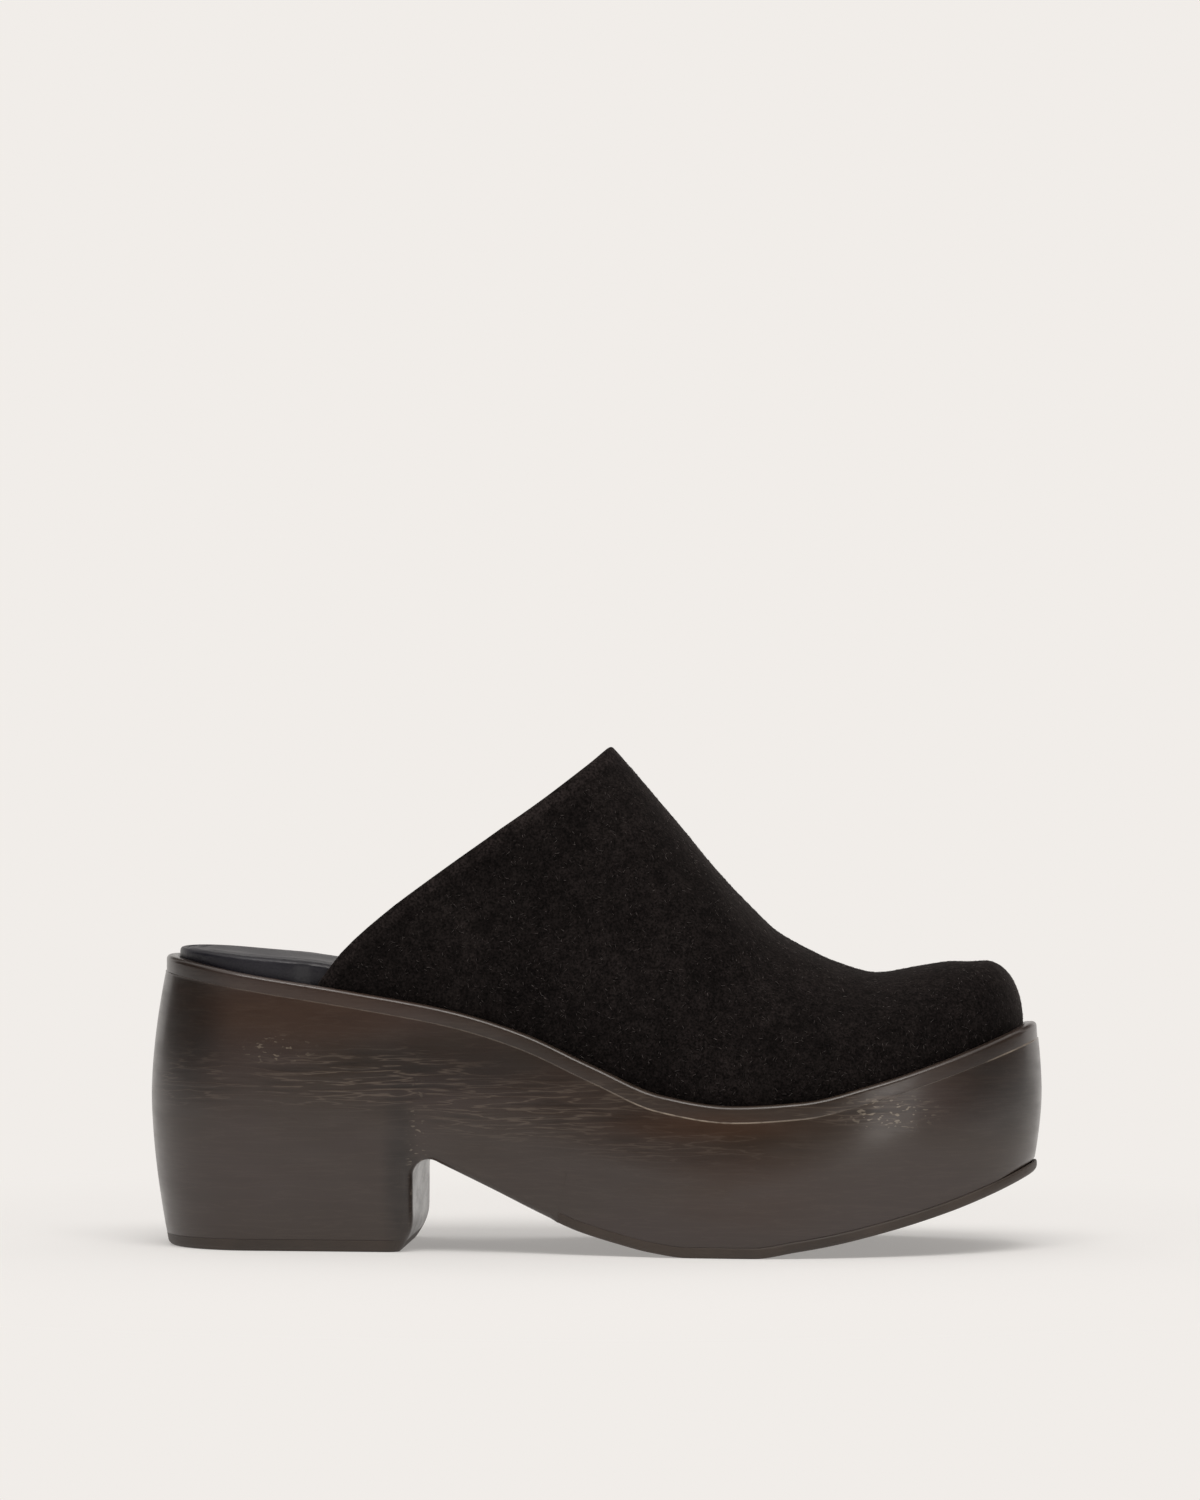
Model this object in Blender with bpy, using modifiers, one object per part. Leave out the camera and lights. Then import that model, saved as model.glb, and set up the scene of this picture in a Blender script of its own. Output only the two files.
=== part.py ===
"""Right-foot mule clog: a suede upper on a wood-look platform with a block heel.

Frame: +X towards the toe, +Y towards the inner side, +Z up, metres. The origin is on the
floor under the middle of the shoe's box. Stations run from 0 at the heel's back to 1 at the
toe, as shares of the length.
"""
from collections import namedtuple
import math

import bpy
import numpy as np

# Driving sizes
LENGTH = 0.2635
BALL_WIDTH = 0.0960
HEEL_WIDTH = 0.0630
HEEL_HEIGHT = 0.0860
PLATFORM_HEIGHT = 0.0445
TOE_RISE = 0.0229
INSTEP_RISE = 0.0927
ARCH_HEIGHT = 0.0279
TOE_SPRING = 0.0235
HEEL_SEAT_ROUND = 0.0320
TOE_ROUND = 0.0840
TOE_FULLNESS = 2.2
BELLY = 0.0053
BELLY_LEVEL = 0.52
BELLY_POWER = 1.7

# Heel block and underside
HEEL_BASE = 0.0800
BREAST_CORNER = 0.0035
BREAST_TOE_RISE = 0.0105
BREAST_TOE_RUN = 0.0042
ARCH_ROUND = 0.0050
EDGE_ROUND = 0.0028
SEAM_ROUND = 0.0004
LIFT_THICKNESS = 0.0035
LIFT_ROUND = 0.0015
OUTSOLE_START = 0.1235
OUTSOLE_THICKNESS = 0.0032
OUTSOLE_PROUD = 0.0006
OUTSOLE_ROUND = 0.0014

# Rim and recess of the platform
RIM_WIDTH = 0.0037
RIM_ROUND = 0.0013
RIM_LEVEL = 0.94
LEDGE_DROP = 0.0048
LEDGE_STEP = 0.0003
RECESS_DEPTH = 0.0050

# Upper
WALL = 0.0020
COLLAR_START = 0.0515
COLLAR_PEAK = 0.1351
TOE_FRONT = 0.0140
TOE_FRONT_FULLNESS = 2.1
SIDE_BULGE = 0.0018
BULGE_HEIGHT = 0.0360

# Insole
INSOLE_RISE = 0.0061
INSOLE_ROUND = 0.0016
INSOLE_NECK = 0.0070

# Clearances: between neighbours, and over the recess floor, whose facets run another way
# than those of the pieces lying on it
GAP = 0.0003
BED_GAP = 0.0005

# Plan of the sole at its widest level. spread runs from the heel's width (0) to the ball's
# width (1), swing is the middle line's shift to the inner side as a share of the ball width,
# shoulder and foot are how far the swelling wall draws in at its top and its bottom, as shares
# of BELLY. Over RIM_LEVEL, a share of the wall's height, the rim's face stands upright.
Plan = namedtuple("Plan", "station spread swing shoulder foot")
PLAN = (
    Plan(0.00, 0.00, 0.000, 1.00, 0.98),
    Plan(0.14, 0.00, 0.000, 0.62, 0.62),
    Plan(0.28, 0.04, -0.004, 0.50, 0.46),
    Plan(0.40, 0.13, -0.014, 0.46, 0.40),
    Plan(0.52, 0.46, -0.018, 0.50, 0.42),
    Plan(0.62, 0.85, -0.010, 0.52, 0.44),
    Plan(0.70, 1.00, 0.004, 0.50, 0.46),
    Plan(0.82, 0.98, 0.028, 0.42, 0.48),
    Plan(1.00, 0.95, 0.060, 0.30, 0.49),
)

# Rim line from the side: heel is a share of the drop from heel to ball, toe of TOE_RISE.
Rim = namedtuple("Rim", "station heel toe")
RIM = (
    Rim(0.000, 1.020, 0.000),
    Rim(0.030, 0.992, 0.000),
    Rim(0.132, 0.877, 0.000),
    Rim(0.233, 0.776, 0.000),
    Rim(0.351, 0.640, 0.000),
    Rim(0.429, 0.490, 0.000),
    Rim(0.508, 0.270, 0.000),
    Rim(0.586, 0.070, 0.000),
    Rim(0.665, 0.000, 0.000),
    Rim(0.742, 0.000, 0.050),
    Rim(0.819, 0.000, 0.262),
    Rim(0.895, 0.000, 0.545),
    Rim(0.950, 0.000, 0.790),
    Rim(1.000, 0.000, 1.030),
)

# Underside from the side: arch is a share of ARCH_HEIGHT, spring of TOE_SPRING.
Under = namedtuple("Under", "station arch spring")
UNDER = (
    Under(0.280, 1.200, 0.000),
    Under(0.324, 1.000, 0.000),
    Under(0.394, 0.685, 0.000),
    Under(0.446, 0.445, 0.000),
    Under(0.490, 0.262, 0.000),
    Under(0.535, 0.135, 0.000),
    Under(0.575, 0.046, 0.000),
    Under(0.615, 0.000, 0.000),
    Under(0.690, 0.000, 0.000),
    Under(0.735, 0.000, 0.076),
    Under(0.772, 0.000, 0.148),
    Under(0.837, 0.000, 0.322),
    Under(0.906, 0.000, 0.557),
    Under(0.955, 0.000, 0.770),
    Under(1.000, 0.000, 1.000),
)

# Upper: crown is the ridge over the rim line as a share of INSTEP_RISE (behind the collar's
# peak it only guides the side walls), ridge its shift to the inner side as a share of the
# ball width, fullness the exponent of the section, bulge a share of SIDE_BULGE.
Vamp = namedtuple("Vamp", "station crown ridge fullness bulge")
VAMP = (
    Vamp(0.190, 1.720, 0.000, 2.00, 0.25),
    Vamp(0.350, 1.330, 0.004, 2.00, 0.80),
    Vamp(0.513, 1.000, 0.012, 2.05, 1.00),
    Vamp(0.536, 0.963, 0.014, 2.05, 1.00),
    Vamp(0.560, 0.914, 0.016, 2.08, 1.00),
    Vamp(0.615, 0.760, 0.020, 2.12, 1.00),
    Vamp(0.655, 0.648, 0.022, 2.15, 1.00),
    Vamp(0.702, 0.524, 0.022, 2.20, 1.00),
    Vamp(0.750, 0.439, 0.020, 2.23, 0.94),
    Vamp(0.773, 0.400, 0.018, 2.25, 0.90),
    Vamp(0.822, 0.330, 0.014, 2.30, 0.80),
    Vamp(0.871, 0.311, 0.008, 2.35, 0.60),
    Vamp(0.905, 0.294, 0.005, 2.38, 0.50),
    Vamp(0.930, 0.270, 0.003, 2.40, 0.40),
    Vamp(1.000, 0.215, 0.000, 2.40, 0.20),
)

# Collar from the side: run and rise as shares of its foot-to-peak run and rise.
Collar = namedtuple("Collar", "run rise")
COLLAR = (
    Collar(0.00, 0.000),
    Collar(0.08, 0.130),
    Collar(0.24, 0.307),
    Collar(0.48, 0.524),
    Collar(0.73, 0.741),
    Collar(0.95, 0.948),
    Collar(1.00, 1.000),
)

# Insole top over the rim line, as a share of INSOLE_RISE.
Footbed = namedtuple("Footbed", "station rise")
FOOTBED = (
    Footbed(0.00, 0.22),
    Footbed(0.03, 0.42),
    Footbed(0.10, 0.72),
    Footbed(0.20, 1.00),
    Footbed(0.40, 0.90),
    Footbed(0.62, 0.35),
    Footbed(1.00, 0.15),
)

# A point of the platform's underside from the side: distance, height, normal into the body,
# radius of the edge there, and its lift over under_line, or FIXED where the height is its own.
Edge = namedtuple("Edge", "x z nx nz radius lift")
FIXED = -1.0

LATERAL = -1
MEDIAL = 1

# Outline parameters where the ends meet the sides, share of the upper's length over which the
# collar's slant fades out, and how far the rim's columns stand over the underside's
BACK_CORNER = 0.125
TOE_CORNER = 0.875
COLLAR_FADE = 0.30
TOP_FOLLOWS = 0.65

# Facet counts: across an end, around an edge, up the wall, and along each piece
ACROSS = 10
ARC_STEPS = 4
WALL_LEVELS = 7
HEEL_STEPS = 8
BREAST_STEPS = 3
ARCH_STEPS = 5
FOREFOOT_STEPS = 13
LIFT_STEPS = 6
INSOLE_STEPS = 22
UPPER_STEPS = 32
UPPER_HALF = 12

# Columns over which the bow of a flat face's end fades out
HEEL_FADE = 6
TOE_FADE = 12

# Samples of a dense curve, and the fold past which an edge is drawn sharp
DENSE = 801
SHARP_FOLD = math.radians(35)
DIAGONAL = math.sqrt(0.5)


def smooth(table, column, station):
    """Smooth value of a table's column, without overshoot, level beyond the ends."""
    xs = np.array([row[0] for row in table])
    ys = np.array([getattr(row, column) for row in table])
    steps = np.diff(xs)
    slopes = np.diff(ys) / steps
    tangents = np.zeros(len(xs))
    for i in range(1, len(xs) - 1):
        before, after = slopes[i - 1], slopes[i]
        if before * after > 0.0:
            near, far = 2 * steps[i] + steps[i - 1], steps[i] + 2 * steps[i - 1]
            tangents[i] = (near + far) / (near / before + far / after)
    tangents[0], tangents[-1] = slopes[0], slopes[-1]
    at = np.clip(np.asarray(station, dtype=float), xs[0], xs[-1])
    cell = np.clip(np.searchsorted(xs, at, side="right") - 1, 0, len(steps) - 1)
    h = steps[cell]
    t = (at - xs[cell]) / h
    return ((1 + 2 * t) * (1 - t) ** 2 * ys[cell] + t * (1 - t) ** 2 * h * tangents[cell]
            + t * t * (3 - 2 * t) * ys[cell + 1] + t * t * (t - 1) * h * tangents[cell + 1])


def rim_line(x):
    """Height of the rim's top at a distance x from the heel's back."""
    station = x / LENGTH
    drop = (HEEL_HEIGHT - PLATFORM_HEIGHT) * smooth(RIM, "heel", station)
    return PLATFORM_HEIGHT + drop + TOE_RISE * smooth(RIM, "toe", station)


def spring_line(x):
    """Height of the sole's lowest line in front of the heel, without the arch."""
    return TOE_SPRING * smooth(UNDER, "spring", x / LENGTH)


def under_line(x):
    """Height of the arch and forefoot underside at a distance x."""
    return ARCH_HEIGHT * smooth(UNDER, "arch", x / LENGTH) + spring_line(x)


def floor_line(x):
    """Height of the recess floor that carries the insole and the upper's edge."""
    return rim_line(x) - RECESS_DEPTH


def bed_line(x):
    """Height of the undersides that lie on the recess floor."""
    return floor_line(x) + BED_GAP


def half_width(station):
    """Half the sole's width, rounded off at heel and toe."""
    spread = smooth(PLAN, "spread", station)
    half = 0.5 * (HEEL_WIDTH + (BALL_WIDTH - HEEL_WIDTH) * spread)
    heel_turn = np.clip(1 - station * LENGTH / HEEL_SEAT_ROUND, 0, 1)
    toe_turn = np.clip(1 - (1 - station) * LENGTH / TOE_ROUND, 0, 1)
    heel = np.sqrt(1 - heel_turn ** 2)
    return half * heel * (1 - toe_turn ** TOE_FULLNESS) ** (1 / TOE_FULLNESS)


def outline_table(side):
    """Dense outline of one side from the heel's back to the toe, with inward normals."""
    turn = np.linspace(0, 1, DENSE)
    station = (1 - np.cos(math.pi * turn)) / 2
    x = station * LENGTH
    y = BALL_WIDTH * smooth(PLAN, "swing", station) + side * half_width(station)
    dx, dy = np.gradient(x), np.gradient(y)
    dx[0] = dx[-1] = 0.0
    size = np.hypot(dx, dy)
    return turn, x, y, side * dy / size, -side * dx / size


OUTLINE = {side: outline_table(side) for side in (LATERAL, MEDIAL)}


def turn_at(x):
    """Outline parameter, 0 at the heel's back and 1 at the toe, of a distance x."""
    return np.arccos(np.clip(1 - 2 * np.asarray(x) / LENGTH, -1, 1)) / math.pi


def distance_at(turns):
    """Distance from the heel's back of an outline parameter."""
    return LENGTH * (1 - np.cos(math.pi * turns)) / 2


def outline(sides, turns, inset):
    """Points (x, y) of the outline moved inwards by inset."""
    sides, turns = np.broadcast_arrays(sides, turns)
    inset = np.broadcast_to(inset, turns.shape)
    x, y = np.zeros(turns.shape), np.zeros(turns.shape)
    for side, (turn, ox, oy, nx, ny) in OUTLINE.items():
        pick = sides == side
        at = turns[pick]
        x[pick] = np.interp(at, turn, ox) + inset[pick] * np.interp(at, turn, nx)
        y[pick] = np.interp(at, turn, oy) + inset[pick] * np.interp(at, turn, ny)
    return x, y


def drawn_in(turns, level):
    """How far the swelling wall has drawn in at a level of its height."""
    station = distance_at(turns) / LENGTH
    up = np.clip((level - BELLY_LEVEL) / (1 - BELLY_LEVEL), 0, 1) ** BELLY_POWER
    down = np.clip(1 - level / BELLY_LEVEL, 0, 1) ** BELLY_POWER
    return BELLY * (smooth(PLAN, "shoulder", station) * up + smooth(PLAN, "foot", station) * down)


def rim_inset(turns):
    """Inset of the rim's outer face."""
    return drawn_in(turns, RIM_LEVEL) + LEDGE_STEP


def rim_height(sides, turns):
    """Height of the rim's crown, the same across its width."""
    x, _ = outline(sides, turns, rim_inset(turns) + RIM_WIDTH / 2)
    return rim_line(x)


def wall_inset(sides, turns, z):
    """Inset of the swelling wall at a height."""
    x, _ = outline(sides, turns, 0.0)
    low = spring_line(x)
    level = (z - low) / (rim_height(sides, turns) - low)
    return drawn_in(turns, np.clip(level, 0, RIM_LEVEL))


def stack(x, y, z):
    """Rows of (x, y, z)."""
    return np.stack(np.broadcast_arrays(x, y, z), axis=-1)


class Ring:
    """Order of the points around a piece: outer side, toe end, inner side, back end."""

    def __init__(self, along, across):
        self.along = along
        self.across = across
        self.count = 2 * (along + across)

    def join(self, lateral, toe, medial, back):
        """One loop from four runs that share their corners."""
        return np.concatenate([lateral[:-1], toe[:-1], medial[::-1][:-1], back[::-1][:-1]])

    def turns(self, side_turns, back_corner, toe_corner):
        """Sides and outline parameters around the loop; a cut-off back stays at its start."""
        back = back_corner if back_corner is not None else side_turns[0]
        back_sides, back_turns = end_turns(back, 0.0 if back_corner is not None else back)
        toe_sides, toe_turns = end_turns(toe_corner, 1.0)
        run = np.ones(self.along + 1)
        sides = self.join(run * LATERAL, toe_sides, run * MEDIAL, back_sides)
        return sides, self.join(side_turns, toe_turns, side_turns, back_turns)

    def values(self, along_side, at_back, at_toe):
        """One value per point from a side's values and one for each end."""
        run = np.ones(self.across + 1)
        return self.join(along_side, run * at_toe, along_side, run * at_back)

    def straight_back(self, x, y):
        """The back end drawn straight from side to side."""
        first = 2 * self.along + self.across
        share = np.linspace(0, 1, self.across + 1)[:-1]
        for line in (x, y):
            line[first:] = line[first] + (line[0] - line[first]) * share
        return x, y

    def grid(self, loop, back_fade, toe_fade):
        """Points filling the loop; the ends' bows fade out along the piece."""
        m, k = self.along, self.across
        lateral = loop[:m + 1]
        toe = loop[m:m + k + 1]
        medial = loop[m + k:2 * m + k + 1][::-1]
        back = np.concatenate([loop[2 * m + k:], loop[:1]])[::-1]
        share = np.linspace(0, 1, k + 1)[None, :, None]
        fill = lateral[:, None] * (1 - share) + medial[:, None] * share
        bow_back = back - (back[0] + (back[-1] - back[0]) * share[0])
        bow_toe = toe - (toe[0] + (toe[-1] - toe[0]) * share[0])
        fill = fill + back_fade[:, None, None] * bow_back[None]
        return fill + toe_fade[:, None, None] * bow_toe[None]

    def border(self):
        """Grid places (along, across) of the loop's points, in the loop's order."""
        m, k = self.along, self.across
        places = [(i, 0) for i in range(m)] + [(m, j) for j in range(k)]
        places += [(i, k) for i in range(m, 0, -1)] + [(0, j) for j in range(k, 0, -1)]
        return places


class Solid:
    """Collects loops and grids into one closed mesh."""

    def __init__(self):
        self.points = []
        self.faces = []

    def loop(self, points):
        """Add points and give their indices."""
        start = len(self.points)
        self.points.extend(map(tuple, points))
        return list(range(start, start + len(points)))

    def bridge(self, low, high):
        """Wall of quads from a closed loop up to the next."""
        for i in range(len(low)):
            j = (i + 1) % len(low)
            self.faces.append((low[i], low[j], high[j], high[i]))

    def cap(self, ring, loop, grid, up):
        """Fill a closed loop with the inner points of a grid, facing up or down."""
        border = dict(zip(ring.border(), loop))
        index = {}
        for i in range(ring.along + 1):
            for j in range(ring.across + 1):
                if (i, j) in border:
                    index[i, j] = border[i, j]
                else:
                    index[i, j] = self.loop([grid[i, j]])[0]
        for i in range(ring.along):
            for j in range(ring.across):
                face = (index[i, j], index[i + 1, j], index[i + 1, j + 1], index[i, j + 1])
                self.faces.append(face if up else face[::-1])

    def build(self, name, material, collection):
        """Make the object, shaded smooth apart from its folds."""
        mesh = bpy.data.meshes.new(name)
        mesh.from_pydata(self.points, [], self.faces)
        mesh.validate()
        mesh.shade_smooth()
        mesh.set_sharp_from_angle(angle=SHARP_FOLD)
        part = bpy.data.objects.new(name, mesh)
        mesh.materials.append(material)
        collection.objects.link(part)
        return part


def make_material(name, colour, roughness):
    """Plain material of one colour."""
    material = bpy.data.materials.new(name)
    material.use_nodes = True
    shader = material.node_tree.nodes["Principled BSDF"]
    shader.inputs["Base Color"].default_value = (*colour, 1.0)
    shader.inputs["Roughness"].default_value = roughness
    shader.inputs["Metallic"].default_value = 0.0
    return material


def fade(count, length):
    """Fade from 1 to 0 over the first length of count + 1 places."""
    t = np.clip(np.arange(count + 1) / length, 0, 1)
    return (1 - t) ** 2 * (1 + 2 * t)


def end_turns(corner, tip):
    """Outline parameters and sides across an end, outer corner to inner corner."""
    share = np.linspace(-1, 1, ACROSS + 1)
    sides = np.where(share < 0, LATERAL, MEDIAL)
    return sides, tip + (corner - tip) * np.abs(share)


def breast_front(z):
    """Distance of the heel's front face at a height, curving back towards the floor."""
    return HEEL_BASE - BREAST_TOE_RUN * np.clip(1 - z / BREAST_TOE_RISE, 0, 1) ** 2


def slope_of(line, x, reach=0.001):
    """Slope of a line of the side view."""
    return float(line(x + reach) - line(x - reach)) / (2 * reach)


def underside_path():
    """Side view of the platform's underside between the corners, from heel to toe."""
    base = LIFT_THICKNESS + GAP
    lift = OUTSOLE_THICKNESS + GAP
    step = OUTSOLE_START - GAP
    rows = []
    heel_end = turn_at(breast_front(base) - BREAST_CORNER)
    for x in distance_at(np.linspace(BACK_CORNER, heel_end, HEEL_STEPS + 1)):
        rows.append(Edge(x, base, 0, 1, SEAM_ROUND, FIXED))
    for z in np.linspace(base, BREAST_TOE_RISE, BREAST_STEPS + 1):
        rows.append(Edge(breast_front(z), z, -1, 0, BREAST_CORNER, FIXED))

    lean = -math.atan(slope_of(under_line, HEEL_BASE + 2 * ARCH_ROUND))
    touch = HEEL_BASE + ARCH_ROUND * (1 + math.sin(lean))
    middle_x = HEEL_BASE + ARCH_ROUND
    middle_z = float(under_line(touch)) - ARCH_ROUND * math.cos(lean)
    half_way = (BREAST_TOE_RISE + middle_z) / 2
    rows.append(Edge(HEEL_BASE, half_way, -1, 0, BREAST_CORNER, FIXED))
    for angle in np.linspace(math.pi, math.pi / 2 - lean, ARC_STEPS + 1):
        c, s = math.cos(angle), math.sin(angle)
        radius = BREAST_CORNER + (EDGE_ROUND - BREAST_CORNER) * (1 + c)
        rows.append(Edge(middle_x + ARCH_ROUND * c, middle_z + ARCH_ROUND * s, c, s,
                         radius, FIXED))

    for x in np.linspace(touch, step - EDGE_ROUND, ARCH_STEPS + 1)[1:]:
        slope = slope_of(under_line, x)
        size = math.hypot(1, slope)
        rows.append(Edge(x, float(under_line(x)), -slope / size, 1 / size, EDGE_ROUND, 0.0))
    rows.append(Edge(step, float(under_line(step)), -DIAGONAL, DIAGONAL, SEAM_ROUND, 0.0))
    for x in distance_at(np.linspace(turn_at(step), TOE_CORNER, FOREFOOT_STEPS + 1)):
        rows.append(Edge(x, float(under_line(x)) + lift, 0, 1, SEAM_ROUND, lift))
    return rows


def make_platform(material, collection):
    """Heel, arch and forefoot in one moulded body, with a rim round the recess on top."""
    path = underside_path()
    along = len(path) - 1
    ring = Ring(along, ACROSS)
    edge = Edge(*(np.array(column, dtype=float) for column in zip(*path)))
    even = np.linspace(BACK_CORNER, TOE_CORNER, along + 1)
    top = TOP_FOLLOWS * turn_at(edge.x) + (1 - TOP_FOLLOWS) * even

    sides, low_turn = ring.turns(turn_at(edge.x), BACK_CORNER, TOE_CORNER)
    high_turn = ring.turns(top, BACK_CORNER, TOE_CORNER)[1]
    on_side, start_x = ring.values(np.ones(along + 1), 0, 0), ring.values(edge.x, 0, 0)
    height = ring.values(edge.z, edge.z[0], edge.z[-1])
    normal_x, normal_z = ring.values(edge.nx, 0, 0), ring.values(edge.nz, 1, 1)
    radius = ring.values(edge.radius, SEAM_ROUND, SEAM_ROUND)
    lift = ring.values(edge.lift, edge.lift[0], edge.lift[-1])

    solid = Solid()
    loops = []
    for angle in np.linspace(math.pi / 2, 0, ARC_STEPS + 1):
        out = radius * (1 - math.sin(angle))
        turns = np.where(on_side > 0, turn_at(start_x + normal_x * out), low_turn)
        inset = wall_inset(sides, turns, height) + radius * (1 - math.cos(angle))
        x, y = outline(sides, turns, inset)
        z = np.where(lift >= 0, under_line(x) + lift, height) + normal_z * out
        loops.append(solid.loop(stack(x, y, z)))
    crown = rim_height(sides, high_turn)
    ledge = crown - LEDGE_DROP
    for share in np.linspace(0, 1, WALL_LEVELS + 1)[1:]:
        level_turns = turns + (high_turn - turns) * share
        level = z + (ledge - z) * share
        inset = wall_inset(sides, level_turns, level)
        loops.append(solid.loop(stack(*outline(sides, level_turns, inset), level)))

    face = rim_inset(high_turn)
    band = wall_inset(sides, high_turn, ledge) + LEDGE_STEP
    loops.append(solid.loop(stack(*outline(sides, high_turn, band), ledge + LEDGE_STEP / 2)))
    for angle in np.linspace(0, math.pi, 2 * ARC_STEPS - 1):
        shift = RIM_ROUND * (1 - abs(math.cos(angle)))
        inset = face + (shift if math.cos(angle) > 0 else RIM_WIDTH - shift)
        level = crown - RIM_ROUND * (1 - math.sin(angle))
        loops.append(solid.loop(stack(*outline(sides, high_turn, inset), level)))
    x, y = outline(sides, high_turn, face + RIM_WIDTH)
    floor = stack(x, y, floor_line(x))
    loops.append(solid.loop(floor))
    for low, high in zip(loops, loops[1:]):
        solid.bridge(low, high)

    bottom = np.array([solid.points[i] for i in loops[0]])
    fades = fade(along, HEEL_FADE), fade(along, TOE_FADE)[::-1]
    solid.cap(ring, loops[0], ring.grid(bottom, *fades), False)
    bed = ring.grid(floor, fade(along, along), fade(along, along)[::-1])
    bed[..., 2] = floor_line(bed[..., 0])
    solid.cap(ring, loops[-1], bed, True)
    return solid.build("platform", material, collection)


def make_outsole(material, collection):
    """Rubber tread under the forefoot, in line with the underside."""
    along = FOREFOOT_STEPS
    ring = Ring(along, ACROSS)
    start_turn = float(turn_at(OUTSOLE_START))
    sides, turns = ring.turns(np.linspace(start_turn, TOE_CORNER, along + 1), None, TOE_CORNER)
    solid = Solid()
    loops = []
    levels = [(OUTSOLE_ROUND * (1 - math.cos(a)), OUTSOLE_ROUND * (1 - math.sin(a)))
              for a in np.linspace(math.pi / 2, 0, ARC_STEPS)]
    levels += [(0.0, OUTSOLE_THICKNESS - SEAM_ROUND), (SEAM_ROUND, OUTSOLE_THICKNESS)]
    for inset, lift in levels:
        x, _ = outline(sides, turns, 0.0)
        wall = wall_inset(sides, turns, under_line(x) + OUTSOLE_THICKNESS)
        x, y = outline(sides, turns, wall - OUTSOLE_PROUD + inset)
        x, y = ring.straight_back(x, y)
        loops.append(solid.loop(stack(x, y, under_line(x) + lift)))
    for low, high in zip(loops, loops[1:]):
        solid.bridge(low, high)
    for loop, lift, up in ((loops[0], 0.0, False), (loops[-1], OUTSOLE_THICKNESS, True)):
        points = np.array([solid.points[i] for i in loop])
        grid = ring.grid(points, np.zeros(along + 1), fade(along, TOE_FADE)[::-1])
        grid[..., 2] = under_line(grid[..., 0]) + lift
        solid.cap(ring, loop, grid, up)
    return solid.build("outsole", material, collection)


def make_heel_top_lift(material, collection):
    """Rubber piece under the heel block, flat on the floor."""
    along = LIFT_STEPS + ARC_STEPS
    ring = Ring(along, ACROSS)
    back_sides, back_turns = end_turns(BACK_CORNER, 0.0)
    solid = Solid()
    loops = []
    levels = [(LIFT_ROUND * (1 - math.cos(a)), LIFT_ROUND * (1 - math.sin(a)))
              for a in np.linspace(math.pi / 2, 0, ARC_STEPS + 1)]
    levels += [(0.0, LIFT_THICKNESS)]
    for inset, z in levels:
        turns = np.linspace(BACK_CORNER, turn_at(breast_front(z) - BREAST_CORNER), LIFT_STEPS + 1)
        runs = {}
        for side in (LATERAL, MEDIAL):
            sides = np.full(len(turns), side)
            x, y = outline(sides, turns, wall_inset(sides, turns, z) + inset)
            corner = np.linspace(0, math.pi / 2, ARC_STEPS + 1)[1:]
            corner_y = y[-1] - side * BREAST_CORNER
            x = np.concatenate([x, x[-1] + BREAST_CORNER * np.sin(corner)])
            y = np.concatenate([y, corner_y + side * BREAST_CORNER * np.cos(corner)])
            runs[side] = stack(x, y, z)
        back = stack(*outline(back_sides, back_turns,
                              wall_inset(back_sides, back_turns, z) + inset), z)
        share = np.linspace(0, 1, ACROSS + 1)[:, None]
        breast = runs[LATERAL][-1] * (1 - share) + runs[MEDIAL][-1] * share
        loops.append(solid.loop(ring.join(runs[LATERAL], breast, runs[MEDIAL], back)))
    for low, high in zip(loops, loops[1:]):
        solid.bridge(low, high)
    for loop, up in ((loops[0], False), (loops[-1], True)):
        points = np.array([solid.points[i] for i in loop])
        solid.cap(ring, loop, ring.grid(points, fade(along, along), np.zeros(along + 1)), up)
    return solid.build("heel_top_lift", material, collection)


def insole_inset(turns):
    """Inset of the insole's side: at the rim in the heel, inside the upper further on."""
    distance = distance_at(turns)
    neck = np.clip((distance - COLLAR_START + INSOLE_NECK) / (INSOLE_NECK - WALL), 0, 1)
    neck = neck * neck * (3 - 2 * neck)
    return rim_inset(turns) + RIM_WIDTH + GAP + (WALL + BED_GAP) * neck


def insole_top(x):
    """Height of the insole's top at a distance x."""
    return rim_line(x) + INSOLE_RISE * smooth(FOOTBED, "rise", x / LENGTH)


def make_insole(material, collection):
    """Padded footbed lying in the recess."""
    along = INSOLE_STEPS
    ring = Ring(along, ACROSS)
    side_turns = np.linspace(BACK_CORNER, TOE_CORNER, along + 1)
    sides, turns = ring.turns(side_turns, BACK_CORNER, TOE_CORNER)
    side_inset = insole_inset(turns)
    solid = Solid()
    x, y = outline(sides, turns, side_inset)
    bottom = stack(x, y, bed_line(x))
    loops = [solid.loop(bottom)]
    for angle in np.linspace(0, math.pi / 2, ARC_STEPS):
        x, y = outline(sides, turns, side_inset + INSOLE_ROUND * (1 - math.cos(angle)))
        top = stack(x, y, insole_top(x) - INSOLE_ROUND * (1 - math.sin(angle)))
        loops.append(solid.loop(top))
    for low, high in zip(loops, loops[1:]):
        solid.bridge(low, high)
    for points, loop, line, up in ((bottom, loops[0], bed_line, False),
                                   (top, loops[-1], insole_top, True)):
        grid = ring.grid(points, fade(along, along), fade(along, along)[::-1])
        grid[..., 2] = line(grid[..., 0])
        solid.cap(ring, loop, grid, up)
    return solid.build("insole", material, collection)


def vamp(column, distance):
    """A column of the upper's table at a distance from the heel's back."""
    return smooth(VAMP, column, distance / LENGTH)


def ridge_rise(distance):
    """Height of the upper's ridge over the rim line, rounded down to the rim at the toe."""
    left = np.clip(1 - (LENGTH - distance) / TOE_FRONT, 0, 1)
    front = (1 - left ** TOE_FRONT_FULLNESS) ** (1 / TOE_FRONT_FULLNESS)
    return INSTEP_RISE * vamp("crown", distance) * front


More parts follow.
